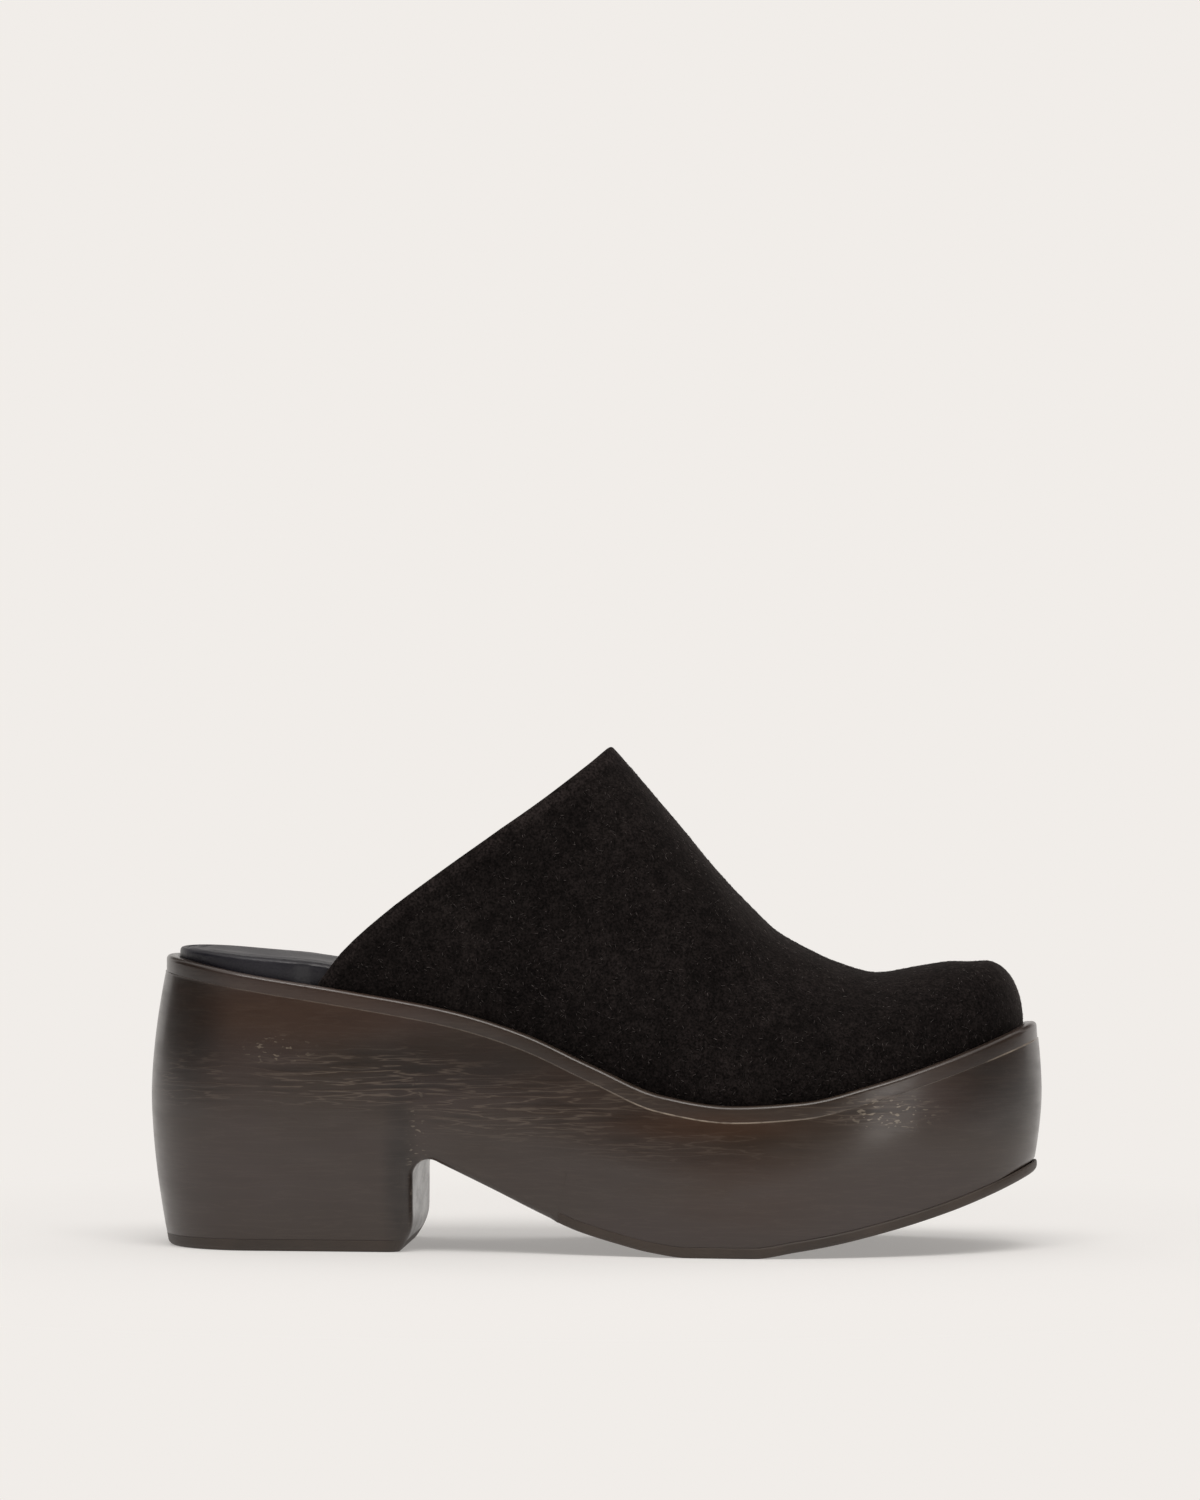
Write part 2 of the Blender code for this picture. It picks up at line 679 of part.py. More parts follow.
def upper_inset(turns):
    """Inset of the upper's outer face where it enters the recess."""
    return rim_inset(turns) + RIM_WIDTH + GAP


def upper_base(side, distance):
    """Points where the upper meets the rim's level."""
    turns = turn_at(distance)
    x, y = outline(np.full(turns.shape, side), turns, upper_inset(turns))
    return x, y, rim_line(x)


def collar_height(distance):
    """Height of the collar's edge from the side."""
    foot = rim_line(COLLAR_START)
    peak = rim_line(COLLAR_PEAK) + ridge_rise(COLLAR_PEAK)
    run = (distance - COLLAR_START) / (COLLAR_PEAK - COLLAR_START)
    return foot + (peak - foot) * smooth(COLLAR, "rise", run)


def upper_surface(distance, around, side):
    """Outer face: around is the angle up the section, 0 at the rim, a right angle on top."""
    x, y, z = upper_base(side, distance)
    other_x, _, _ = upper_base(-side, distance)
    station = distance / LENGTH
    ridge_x = (x + other_x) / 2
    ridge_y = BALL_WIDTH * (smooth(PLAN, "swing", station) + vamp("ridge", distance))
    power = 2 / vamp("fullness", distance)
    out, up = np.cos(around) ** power, np.sin(around) ** power
    rise = ridge_rise(distance) * up
    swell = np.sin(math.pi * np.clip(rise / BULGE_HEIGHT, 0, 1)) * np.cos(around)
    swell *= SIDE_BULGE * vamp("bulge", distance)
    return stack(ridge_x + (x - ridge_x) * out, ridge_y + (y - ridge_y) * out + side * swell,
                 z + rise)


def collar_angle(distance, side):
    """Angle up the section at which the collar's edge cuts it."""
    base = upper_base(side, distance)[2]
    share = np.clip((collar_height(distance) - base) / ridge_rise(distance), 0, 1)
    return np.arcsin(share ** (vamp("fullness", distance) / 2))


def collar_run(around, side):
    """Share of the collar's run at which its edge cuts the section at an angle."""
    run = np.linspace(0, 1, DENSE)
    angle = collar_angle(COLLAR_START + (COLLAR_PEAK - COLLAR_START) * run, side)
    return np.interp(around, np.maximum.accumulate(angle), run)


def upper_grid(along, half):
    """Points of the outer face from the collar to the toe, outer side over to inner side."""
    share = np.linspace(0, 1, along + 1)
    reach = (share * (2 - share))[:, None]
    blend = np.clip(share / COLLAR_FADE, 0, 1)[:, None]
    blend = blend * blend * (3 - 2 * blend)
    around = np.linspace(0, math.pi / 2, half + 1)[None]
    foot = COLLAR_START + (LENGTH - COLLAR_START) * reach
    peak = COLLAR_PEAK + (LENGTH - COLLAR_PEAK) * reach
    faces = {}
    for side in (LATERAL, MEDIAL):
        run = (1 - blend) * collar_run(around, side) + blend * around / (math.pi / 2)
        faces[side] = upper_surface(foot + (peak - foot) * run, around, side)
    ridge = (faces[LATERAL][:, -1:] + faces[MEDIAL][:, -1:]) / 2
    return np.concatenate([faces[LATERAL][:, :-1], ridge, faces[MEDIAL][:, -2::-1]], axis=1)


def make_upper(material, collection):
    """One hollow shell, open at the collar and underneath, its edge let into the recess."""
    grid = upper_grid(UPPER_STEPS, UPPER_HALF)
    solid = Solid()
    rows = [solid.loop(row) for row in grid[:-1]]
    tip = solid.loop(grid[-1, :1])[0]
    cells = range(2 * UPPER_HALF)
    for near, far in zip(rows, rows[1:]):
        solid.faces += [(near[j], far[j], far[j + 1], near[j + 1]) for j in cells]
    solid.faces += [(rows[-1][j], tip, rows[-1][j + 1]) for j in cells]
    edge = [row[0] for row in rows] + [tip] + [row[-1] for row in reversed(rows)]
    above = np.array([solid.points[i] for i in edge])
    below = solid.loop(stack(above[:, 0], above[:, 1], bed_line(above[:, 0])))
    for i in range(len(edge) - 1):
        solid.faces.append((below[i], below[i + 1], edge[i + 1], edge[i]))
    part = solid.build("upper", material, collection)
    wall = part.modifiers.new("wall", "SOLIDIFY")
    wall.thickness = WALL
    wall.offset = -1.0
    wall.use_even_offset = True
    wall.use_quality_normals = True
    return part


def stand_on_origin(parts):
    """Move the parts so that the middle of their box's bottom is the origin."""
    corners = np.array([vertex.co for part in parts for vertex in part.data.vertices])
    low, high = corners.min(axis=0), corners.max(axis=0)
    for part in parts:
        part.location = (-(low[0] + high[0]) / 2, -(low[1] + high[1]) / 2, -low[2])


def main():
    for old in list(bpy.data.objects):
        bpy.data.objects.remove(old, do_unlink=True)
    collection = bpy.data.collections.new("clog")
    bpy.context.scene.collection.children.link(collection)
    wood = make_material("stained_wood", (0.067, 0.051, 0.045), 0.38)
    rubber = make_material("rubber", (0.048, 0.040, 0.037), 0.55)
    suede = make_material("suede", (0.011, 0.009, 0.009), 0.95)
    leather = make_material("lining_leather", (0.030, 0.028, 0.034), 0.45)
    parts = [
        make_platform(wood, collection),
        make_outsole(rubber, collection),
        make_heel_top_lift(rubber, collection),
        make_upper(suede, collection),
        make_insole(leather, collection),
    ]
    stand_on_origin(parts)


main()
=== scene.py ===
"""Looks of a right-foot mule clog: suede upper, wood-look platform, rubber treads, insole.

Row frame: +X towards the toe, +Y towards the inner side, +Z up, metres. In the form's
functions distances run from the heel's back, and stations are shares of the length.
"""
from collections import namedtuple
import math

import bpy
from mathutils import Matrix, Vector
import numpy as np


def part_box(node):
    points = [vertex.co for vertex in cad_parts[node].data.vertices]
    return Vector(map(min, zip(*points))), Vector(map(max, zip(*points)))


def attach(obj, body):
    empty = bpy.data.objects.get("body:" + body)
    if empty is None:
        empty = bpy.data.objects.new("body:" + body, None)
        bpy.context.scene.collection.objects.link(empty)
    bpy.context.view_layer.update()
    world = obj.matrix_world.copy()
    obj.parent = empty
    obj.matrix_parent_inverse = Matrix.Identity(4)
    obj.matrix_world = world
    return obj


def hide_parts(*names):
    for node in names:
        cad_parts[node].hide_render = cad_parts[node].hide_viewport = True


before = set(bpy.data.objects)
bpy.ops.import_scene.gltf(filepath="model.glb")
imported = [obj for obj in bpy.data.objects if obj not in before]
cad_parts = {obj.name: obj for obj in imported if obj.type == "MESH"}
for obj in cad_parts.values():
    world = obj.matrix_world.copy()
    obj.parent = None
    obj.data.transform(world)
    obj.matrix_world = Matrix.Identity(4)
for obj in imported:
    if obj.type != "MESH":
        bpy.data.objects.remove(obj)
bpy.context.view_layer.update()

bl_info = {
    "name": "Suede platform clog",
    "version": (1, 0, 0),
    "blender": (4, 5, 0),
    "location": "View3D > Sidebar > Clog",
    "description": "Builds the finished surfaces of a suede clog on a wood-look platform",
    "category": "Add Mesh",
}

# Driving sizes of the form, as in the solid model
LENGTH = 0.2635
BALL_WIDTH = 0.0960
HEEL_WIDTH = 0.0630
HEEL_HEIGHT = 0.0860
PLATFORM_HEIGHT = 0.0445
TOE_RISE = 0.0229
INSTEP_RISE = 0.0927
ARCH_HEIGHT = 0.0279
TOE_SPRING = 0.0235
HEEL_SEAT_ROUND = 0.0320
TOE_ROUND = 0.0840
TOE_FULLNESS = 2.2
BELLY = 0.0053
BELLY_LEVEL = 0.52
BELLY_POWER = 1.7

# Heel block and underside
HEEL_BASE = 0.0800
BREAST_CORNER = 0.0035
BREAST_TOE_RISE = 0.0105
BREAST_TOE_RUN = 0.0042
ARCH_ROUND = 0.0050
EDGE_ROUND = 0.0028
SEAM_ROUND = 0.00012
LIFT_THICKNESS = 0.0035
LIFT_ROUND = 0.0015
OUTSOLE_START = 0.1235
OUTSOLE_THICKNESS = 0.0032
OUTSOLE_PROUD = 0.0006
OUTSOLE_ROUND = 0.0014
OUTSOLE_SHOULDER = 0.0011

# Rim and recess of the platform
RIM_WIDTH = 0.0037
RIM_ROUND = 0.0013
RIM_LEVEL = 0.94
LEDGE_DROP = 0.0048
LEDGE_STEP = 0.0003
RECESS_DEPTH = 0.0050

# Upper
WALL = 0.0020
COLLAR_START = 0.0515
COLLAR_PEAK = 0.1351
TOE_FRONT = 0.0140
TOE_FRONT_FULLNESS = 2.1
SIDE_BULGE = 0.0018
BULGE_HEIGHT = 0.0360

# Insole
INSOLE_RISE = 0.0061
INSOLE_NECK = 0.0070

# Clearances between neighbours, over the recess floor, and in the bonded joints of the treads
GAP = 0.0003
BED_GAP = 0.0005
BOND_GAP = 0.00003

# Plan of the sole: spread runs from the heel's width (0) to the ball's (1), swing is the middle
# line's shift to the inner side as a share of the ball width, shoulder and foot how far the
# wall draws in at its top and bottom as shares of BELLY, and RIM_LEVEL where the rim starts.
Plan = namedtuple("Plan", "station spread swing shoulder foot")
PLAN = (
    Plan(0.00, 0.00, 0.000, 1.00, 0.98),
    Plan(0.14, 0.00, 0.000, 0.62, 0.62),
    Plan(0.28, 0.04, -0.004, 0.50, 0.46),
    Plan(0.40, 0.13, -0.014, 0.46, 0.40),
    Plan(0.52, 0.46, -0.018, 0.50, 0.42),
    Plan(0.62, 0.85, -0.010, 0.52, 0.44),
    Plan(0.70, 1.00, 0.004, 0.50, 0.46),
    Plan(0.82, 0.98, 0.028, 0.42, 0.48),
    Plan(1.00, 0.95, 0.060, 0.30, 0.49),
)

# Rim line from the side: heel is a share of the drop from heel to ball, toe of TOE_RISE.
Rim = namedtuple("Rim", "station heel toe")
RIM = (
    Rim(0.000, 1.020, 0.000),
    Rim(0.030, 0.992, 0.000),
    Rim(0.132, 0.877, 0.000),
    Rim(0.233, 0.776, 0.000),
    Rim(0.351, 0.640, 0.000),
    Rim(0.429, 0.490, 0.000),
    Rim(0.508, 0.270, 0.000),
    Rim(0.586, 0.070, 0.000),
    Rim(0.665, 0.000, 0.000),
    Rim(0.742, 0.000, 0.050),
    Rim(0.819, 0.000, 0.262),
    Rim(0.895, 0.000, 0.545),
    Rim(0.950, 0.000, 0.790),
    Rim(1.000, 0.000, 1.030),
)

# Underside from the side: arch is a share of ARCH_HEIGHT, spring of TOE_SPRING.
Under = namedtuple("Under", "station arch spring")
UNDER = (
    Under(0.280, 1.200, 0.000),
    Under(0.324, 1.000, 0.000),
    Under(0.394, 0.685, 0.000),
    Under(0.446, 0.445, 0.000),
    Under(0.490, 0.262, 0.000),
    Under(0.535, 0.135, 0.000),
    Under(0.575, 0.046, 0.000),
    Under(0.615, 0.000, 0.000),
    Under(0.690, 0.000, 0.000),
    Under(0.735, 0.000, 0.076),
    Under(0.772, 0.000, 0.148),
    Under(0.837, 0.000, 0.322),
    Under(0.906, 0.000, 0.557),
    Under(0.955, 0.000, 0.770),
    Under(1.000, 0.000, 1.000),
)

# Upper: crown is the ridge over the rim line as a share of INSTEP_RISE, ridge its shift to the
# inner side as a share of the ball width, fullness the section's exponent, bulge a share of
# SIDE_BULGE.
Vamp = namedtuple("Vamp", "station crown ridge fullness bulge")
VAMP = (
    Vamp(0.190, 1.720, 0.000, 2.00, 0.25),
    Vamp(0.350, 1.330, 0.004, 2.00, 0.80),
    Vamp(0.513, 1.000, 0.012, 2.05, 1.00),
    Vamp(0.536, 0.963, 0.014, 2.05, 1.00),
    Vamp(0.560, 0.914, 0.016, 2.08, 1.00),
    Vamp(0.615, 0.760, 0.020, 2.12, 1.00),
    Vamp(0.655, 0.648, 0.022, 2.15, 1.00),
    Vamp(0.702, 0.524, 0.022, 2.20, 1.00),
    Vamp(0.750, 0.439, 0.020, 2.23, 0.94),
    Vamp(0.773, 0.400, 0.018, 2.25, 0.90),
    Vamp(0.822, 0.330, 0.014, 2.30, 0.80),
    Vamp(0.871, 0.311, 0.008, 2.35, 0.60),
    Vamp(0.905, 0.294, 0.005, 2.38, 0.50),
    Vamp(0.930, 0.270, 0.003, 2.40, 0.40),
    Vamp(1.000, 0.215, 0.000, 2.40, 0.20),
)

# Collar from the side: run and rise as shares of its foot-to-peak run and rise.
Collar = namedtuple("Collar", "run rise")
COLLAR = (
    Collar(0.00, 0.000),
    Collar(0.08, 0.130),
    Collar(0.24, 0.307),
    Collar(0.48, 0.524),
    Collar(0.73, 0.741),
    Collar(0.95, 0.948),
    Collar(1.00, 1.000),
)

# Insole top over the rim line, as a share of INSOLE_RISE.
Footbed = namedtuple("Footbed", "station rise")
FOOTBED = (
    Footbed(0.00, 0.22),
    Footbed(0.03, 0.42),
    Footbed(0.10, 0.72),
    Footbed(0.20, 1.00),
    Footbed(0.40, 0.90),
    Footbed(0.62, 0.35),
    Footbed(1.00, 0.15),
)

# Insole's edge: inset from its side and rise over its top line, bead first, then the groove
# that the cover is pressed into, then the pad.
Pad = namedtuple("Pad", "inset rise")
PAD_EDGE = (
    Pad(0.0000, -0.0013),
    Pad(0.0001, -0.0007),
    Pad(0.0004, -0.0002),
    Pad(0.0009, 0.0000),
    Pad(0.0014, -0.0001),
    Pad(0.0018, -0.0004),
    Pad(0.0021, -0.0007),
    Pad(0.0024, -0.0004),
    Pad(0.0029, -0.0001),
    Pad(0.0038, 0.0001),
    Pad(0.0052, 0.0002),
)

# Stain and painted light on the platform's sides, as soft ellipses from the side: middle and
# reach in metres, strength as a share, tone the name of a colour. Warm rows are the stain's own
# tone. Dark rows are painted shade and painted dark reflections. Pale rows, low on the sides, are
# a painted reflection of the floor.
Patch = namedtuple("Patch", "x z reach_x reach_z strength tone")
STAIN_AND_PAINTED_LIGHT = (
    Patch(-0.0850, 0.0700, 0.0420, 0.0110, 0.70, "warm"),
    # Painted dark reflection at the heel's back
    Patch(-0.1190, 0.0680, 0.0130, 0.0300, 0.80, "dark"),
    # Painted dark reflection high on the wall under the rim
    Patch(-0.0400, 0.0560, 0.0420, 0.0100, 0.60, "dark"),
    Patch(0.0350, 0.0385, 0.0340, 0.0050, 0.90, "warm"),
    Patch(0.0480, 0.0200, 0.0350, 0.0140, 0.45, "warm"),
    # Painted dark reflection at the toe
    Patch(0.1220, 0.0500, 0.0160, 0.0180, 0.75, "dark"),
    # Painted reflection of the floor, low on the sides (the three pale rows)
    Patch(-0.0900, 0.0200, 0.0550, 0.0220, 0.60, "pale"),
    Patch(-0.0050, 0.0270, 0.0450, 0.0180, 0.50, "pale"),
    Patch(0.0850, 0.0200, 0.0350, 0.0140, 0.50, "pale"),
    # Painted shade on the heel's front corner
    Patch(-0.0550, 0.0220, 0.0055, 0.0300, 0.75, "dark"),
)

# Where the grain, the painted highlight along the ledge and the rubbed specks show, as soft
# ellipses from the side
Field = namedtuple("Field", "x z reach_x reach_z strength")
GRAIN_FIELDS = (
    Field(-0.0650, 0.0510, 0.0420, 0.0105, 1.00),
    Field(-0.0150, 0.0430, 0.0450, 0.0110, 0.85),
    Field(-0.1150, 0.0500, 0.0200, 0.0100, 0.55),
    Field(0.0820, 0.0440, 0.0260, 0.0060, 0.90),
    Field(0.0250, 0.0330, 0.0450, 0.0060, 0.45),
)
# Where the painted highlight along the ledge shows
LEDGE_HIGHLIGHT_FIELDS = (
    Field(0.0350, 0.0400, 0.0400, 0.0200, 0.85),
    Field(-0.0500, 0.0650, 0.0900, 0.0250, 0.15),
    Field(0.1240, 0.0620, 0.0100, 0.0100, 0.60),
)
SPECKLE_FIELDS = (
    Field(0.0890, 0.0425, 0.0140, 0.0055, 1.00),
    Field(-0.0910, 0.0595, 0.0110, 0.0045, 0.70),
    Field(-0.0500, 0.0250, 0.0030, 0.0300, 0.60),
)

# Creases and soft forms of the upper: station is a share of the length, around runs from the
# outer rim (0) over the ridge (1) to the inner rim (2), lean turns the line from across the
# upper towards the toe in degrees, width, reach and height (a trough's is below 0) in metres.
Crease = namedtuple("Crease", "station around lean width reach height")
CREASES = (
    Crease(0.620, 0.62, -24, 0.0060, 0.0260, -0.00045),
    Crease(0.652, 0.66, -20, 0.0055, 0.0240, 0.00035),
    Crease(0.684, 0.64, -16, 0.0060, 0.0220, -0.00035),
    Crease(0.600, 1.36, 22, 0.0065, 0.0260, -0.00040),
    Crease(0.650, 1.34, 18, 0.0060, 0.0240, 0.00030),
    Crease(0.790, 0.55, 12, 0.0090, 0.0200, -0.00030),
    Crease(0.845, 0.60, 8, 0.0080, 0.0240, 0.00030),
    Crease(0.400, 0.30, 30, 0.0080, 0.0220, -0.00030),
)

# Girth of the section over one step of around, for the creases' sizes
GIRTH = 0.075

# Sides of the shoe
LATERAL = -1
MEDIAL = 1

# Outline parameters where the ends meet the sides, share of the upper's length over which the
# collar's slant fades out, and how far the rim's columns stand over the underside's
BACK_CORNER = 0.125
TOE_CORNER = 0.875
COLLAR_FADE = 0.30
TOP_FOLLOWS = 0.65

# Facet counts of the fine meshes
ACROSS = 36
ARC_STEPS = 8
WALL_LEVELS = 36
HEEL_STEPS = 34
BREAST_STEPS = 6
ARCH_STEPS = 24
FOREFOOT_STEPS = 64
TREAD_STEPS = 330
LIFT_STEPS = 170
INSOLE_STEPS = 110
UPPER_ROWS = 120
UPPER_HALF = 48
DENSE = 801
SHARP_FOLD = math.radians(40)
DIAGONAL = math.sqrt(0.5)

# Distances of the first rows from the collar's rounded edge, closer where the shell thins
SUEDE_ROWS = (0.0, 0.0006, 0.0013, 0.0022, 0.0034, 0.0049, 0.0057, 0.0075, 0.0100)
LINING_ROWS = (0.0, 0.0004, 0.0010, 0.0020, 0.0034, 0.0052, 0.0080)

# Share of the heel's and the forefoot's rows over which the bow of their ends fades out
HEEL_BOW = 0.75
TOE_BOW = 0.92

# Outsole's wall: its share of OUTSOLE_PROUD at the start, then how far it stays and grows out
OUTSOLE_FLUSH = 0.15
OUTSOLE_FLUSH_RUN = 0.03
OUTSOLE_FLUSH_FADE = 0.05

# Grooves of the treads: sideways wave and its pitch, half the flat bottom, and the slope
GROOVE_WAVE = 0.0012
GROOVE_WAVE_PITCH = 0.014
GROOVE_HALF = 0.0004
GROOVE_SLOPE = 0.0005

# Hollow under the heel in the insole's pad, and the soft crown of the whole pad
CUP_DEPTH = 0.0009
CUP_MIDDLE = 0.038
CUP_REACH = 0.030
PAD_CROWN = 0.0004

# Waves along the collar: two pitches, the second's share, and how far they reach down
WAVE_PITCHES = (0.023, 0.037)
WAVE_SECOND = 0.6
WAVE_REACH = 0.012

# Lining: its slack inside the suede, and the run over which the doubled edge thins
LINING_SLACK = 0.00005
LINING_LAP = 0.0006

# Share by which the doubled suede at the collar is paler
FOLD_PALE = 0.6

# Loose fibres of the nap: shortest and longest, bend as a share, thickness and what the palest
# may add, lifts of the middle, the end and the root, and the turn of the swirls they lie in
NAP_FIBRES = 12000
NAP_SEED = 7
NAP_LENGTHS = (0.0005, 0.0015)
NAP_BEND = 0.30
NAP_THICKNESS = 0.000025
NAP_PALE_THICKNESS = 0.000045
NAP_LIFTS = (0.00011, 0.00006, -0.00002)
NAP_SWIRL = 5.0
NAP_SWIRL_REACH = (0.017, 0.013, 0.019)
NAP_SCATTER = 0.7

# Colours that belong to one place only
# Painted highlight along the ledge under the rim
LEDGE_HIGHLIGHT = (0.34, 0.28, 0.22)
SPECK_COLOUR = (0.30, 0.25, 0.19)
PALE_FIBRE = (0.16, 0.14, 0.135)
CARD_COLOUR = (0.02, 0.02, 0.02)

# Studio boxes: name, place, size and power, all aimed at one point over the shoe
LIGHT_TARGET = Vector((0.0, 0.0, 0.07))
STUDIO_LIGHTS = (
    ("top_box", (0.10, -0.70, 1.45), (1.10, 0.60), 13.5),
    ("toe_side_box", (1.15, -1.64, 0.30), (0.50, 0.35), 2.6),
)

# Dark cards around the shoe, which the camera doesn't see: lowest and highest corners
DARK_CARDS = (
    ((-2.3, -2.4, 0.10), (2.3, -2.4, 2.6)),
    ((-2.3, -2.4, 0.10), (-2.3, 1.6, 2.6)),
    ((2.3, -2.4, 0.10), (2.3, 1.6, 2.6)),
    ((-2.3, 2.4, 1.00), (2.3, 2.4, 2.6)),
)

# Round floor's radius and corners, the distances over which it turns into the backdrop, the
# grey of its paper, and the share of its own light that lifts the shadows
FLOOR_RADIUS = 6.0
FLOOR_CORNERS = 96
FLOOR_FADE = (0.09, 0.32)
FLOOR_GREY = 0.96
FLOOR_LIFT = 0.35

# Photo camera: angles to the shoe, distance from the point it looks at, and its lens
CAMERA_AZIMUTH = math.radians(4.5)
CAMERA_ELEVATION = math.radians(2.35)
CAMERA_DISTANCE = 3.6
CAMERA_TARGET = (0.0014, 0.0, 0.1467)
CAMERA_LENS = 292.5
CAMERA_SENSOR = 36.0


def size_setting(name, description, default, least, most):
    """A size shown in the panel, in metres."""
    return bpy.props.FloatProperty(
        name=name, description=description, default=default, min=least, max=most,
        unit="LENGTH", precision=5)


def colour_setting(name, description, default):
    """A colour shown in the panel."""
    return bpy.props.FloatVectorProperty(
        name=name, description=description, default=default, min=0.0, max=1.0,
        subtype="COLOR")


class ClogSizes(bpy.types.PropertyGroup):
    """Sizes of the finish."""

    fold_bead: size_setting(
        "Fold bead", "How far the folded collar stands proud of the suede",
        0.00025, 0.0, 0.001)
    fold_width: size_setting(
        "Fold width", "Width of the band where the suede is doubled at the collar",
        0.0045, 0.001, 0.012)
    suede_thickness: size_setting(
        "Suede thickness", "Thickness of the suede without its lining",
        0.0012, 0.0005, 0.0018)
    lining_start: size_setting(
        "Lining start", "Distance of the lining's edge from the collar",
        0.0060, 0.002, 0.02)
    ripple: size_setting(
        "Collar ripple", "Height of the soft waves along the collar",
        0.00022, 0.0, 0.001)
    tread_depth: size_setting(
        "Tread depth", "Depth of the fine grooves under the treads",
        0.0008, 0.0, 0.002)
    tread_pitch: size_setting(
        "Tread pitch", "Distance from one groove of the treads to the next",
        0.0060, 0.003, 0.02)


class ClogColours(bpy.types.PropertyGroup):
    """Colours of the finish."""

    stain: colour_setting(
        "Stain", "Main colour of the stained wood look", (0.043, 0.029, 0.021))
    # Dark colour of the grain's dark lines, and of the painted shade and painted dark reflections
    # in the dark rows on the platform's sides
    dark_stain_and_shade: colour_setting(
        "Dark stain", "Where the stain has pooled", (0.012, 0.008, 0.006))
    stain_warm: colour_setting(
        "Warm stain", "Where the stain runs thin", (0.052, 0.025, 0.013))
    # Greyer colour of the stain's random clouds, and of the painted reflection of the floor in the
    # pale rows low on the platform's sides
    pale_stain_and_reflection: colour_setting(
        "Pale stain", "Greyer stain low on the heel and the waist", (0.050, 0.034, 0.029))
    grain: colour_setting(
        "Grain", "Light lines of the grain", (0.150, 0.115, 0.090))
    suede: colour_setting(
        "Suede", "Colour of the suede", (0.0084, 0.0067, 0.0064))
    leather: colour_setting(
        "Leather", "Colour of the insole and the lining", (0.014, 0.013, 0.019))
    rubber: colour_setting(
        "Rubber", "Colour of the treads", (0.058, 0.044, 0.036))
    paper: colour_setting(
        "Backdrop", "Colour of the floor and the studio around it", (0.879, 0.847, 0.815))


def smooth(table, column, station):
    """Smooth value of a table's column, without overshoot, level beyond the ends."""
    xs = np.array([row[0] for row in table])
    ys = np.array([getattr(row, column) for row in table])
    steps = np.diff(xs)
    slopes = np.diff(ys) / steps
    tangents = np.zeros(len(xs))
    for i in range(1, len(xs) - 1):
        before, after = slopes[i - 1], slopes[i]
        if before * after > 0.0:
            near, far = 2 * steps[i] + steps[i - 1], steps[i] + 2 * steps[i - 1]
            tangents[i] = (near + far) / (near / before + far / after)
    tangents[0], tangents[-1] = slopes[0], slopes[-1]
    at = np.clip(np.asarray(station, dtype=float), xs[0], xs[-1])
    cell = np.clip(np.searchsorted(xs, at, side="right") - 1, 0, len(steps) - 1)
    h = steps[cell]
    t = (at - xs[cell]) / h
    return ((1 + 2 * t) * (1 - t) ** 2 * ys[cell] + t * (1 - t) ** 2 * h * tangents[cell]
            + t * t * (3 - 2 * t) * ys[cell + 1] + t * t * (t - 1) * h * tangents[cell + 1])


def ease(value):
    """Smooth step from 0 to 1."""
    t = np.clip(value, 0, 1)
    return t * t * (3 - 2 * t)


def rim_line(x):
    """Height of the rim's top at a distance from the heel's back."""
    station = x / LENGTH
    drop = (HEEL_HEIGHT - PLATFORM_HEIGHT) * smooth(RIM, "heel", station)
    return PLATFORM_HEIGHT + drop + TOE_RISE * smooth(RIM, "toe", station)


def spring_line(x):
    """Height of the sole's lowest line in front of the heel, without the arch."""
    return TOE_SPRING * smooth(UNDER, "spring", x / LENGTH)


def under_line(x):
    """Height of the arch and forefoot underside at a distance."""
    return ARCH_HEIGHT * smooth(UNDER, "arch", x / LENGTH) + spring_line(x)


def floor_line(x):
    """Height of the recess floor."""
    return rim_line(x) - RECESS_DEPTH


def bed_line(x):
    """Height of the undersides that lie on the recess floor."""
    return floor_line(x) + BED_GAP


def half_width(station):
    """Half the sole's width, rounded off at heel and toe."""
    spread = smooth(PLAN, "spread", station)
    half = 0.5 * (HEEL_WIDTH + (BALL_WIDTH - HEEL_WIDTH) * spread)
    heel_turn = np.clip(1 - station * LENGTH / HEEL_SEAT_ROUND, 0, 1)
    toe_turn = np.clip(1 - (1 - station) * LENGTH / TOE_ROUND, 0, 1)
    heel = np.sqrt(1 - heel_turn ** 2)
    return half * heel * (1 - toe_turn ** TOE_FULLNESS) ** (1 / TOE_FULLNESS)


def outline_table(side):
    """Dense outline of one side from the heel's back to the toe, with inward normals."""
    turn = np.linspace(0, 1, DENSE)
    station = (1 - np.cos(math.pi * turn)) / 2
    x = station * LENGTH
    y = BALL_WIDTH * smooth(PLAN, "swing", station) + side * half_width(station)
    dx, dy = np.gradient(x), np.gradient(y)
    dx[0] = dx[-1] = 0.0
    size = np.hypot(dx, dy)
    return turn, x, y, side * dy / size, -side * dx / size


OUTLINE = {side: outline_table(side) for side in (LATERAL, MEDIAL)}

# Shift from the form's distances to the row frame
SHIFT = np.array([
    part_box("platform")[0].x,
    -(OUTLINE[LATERAL][2].min() + OUTLINE[MEDIAL][2].max()) / 2,
    0.0,
])


def turn_at(x):
    """Outline parameter, 0 at the heel's back and 1 at the toe, of a distance."""
    return np.arccos(np.clip(1 - 2 * np.asarray(x) / LENGTH, -1, 1)) / math.pi


def distance_at(turns):
    """Distance from the heel's back of an outline parameter."""
    return LENGTH * (1 - np.cos(math.pi * turns)) / 2


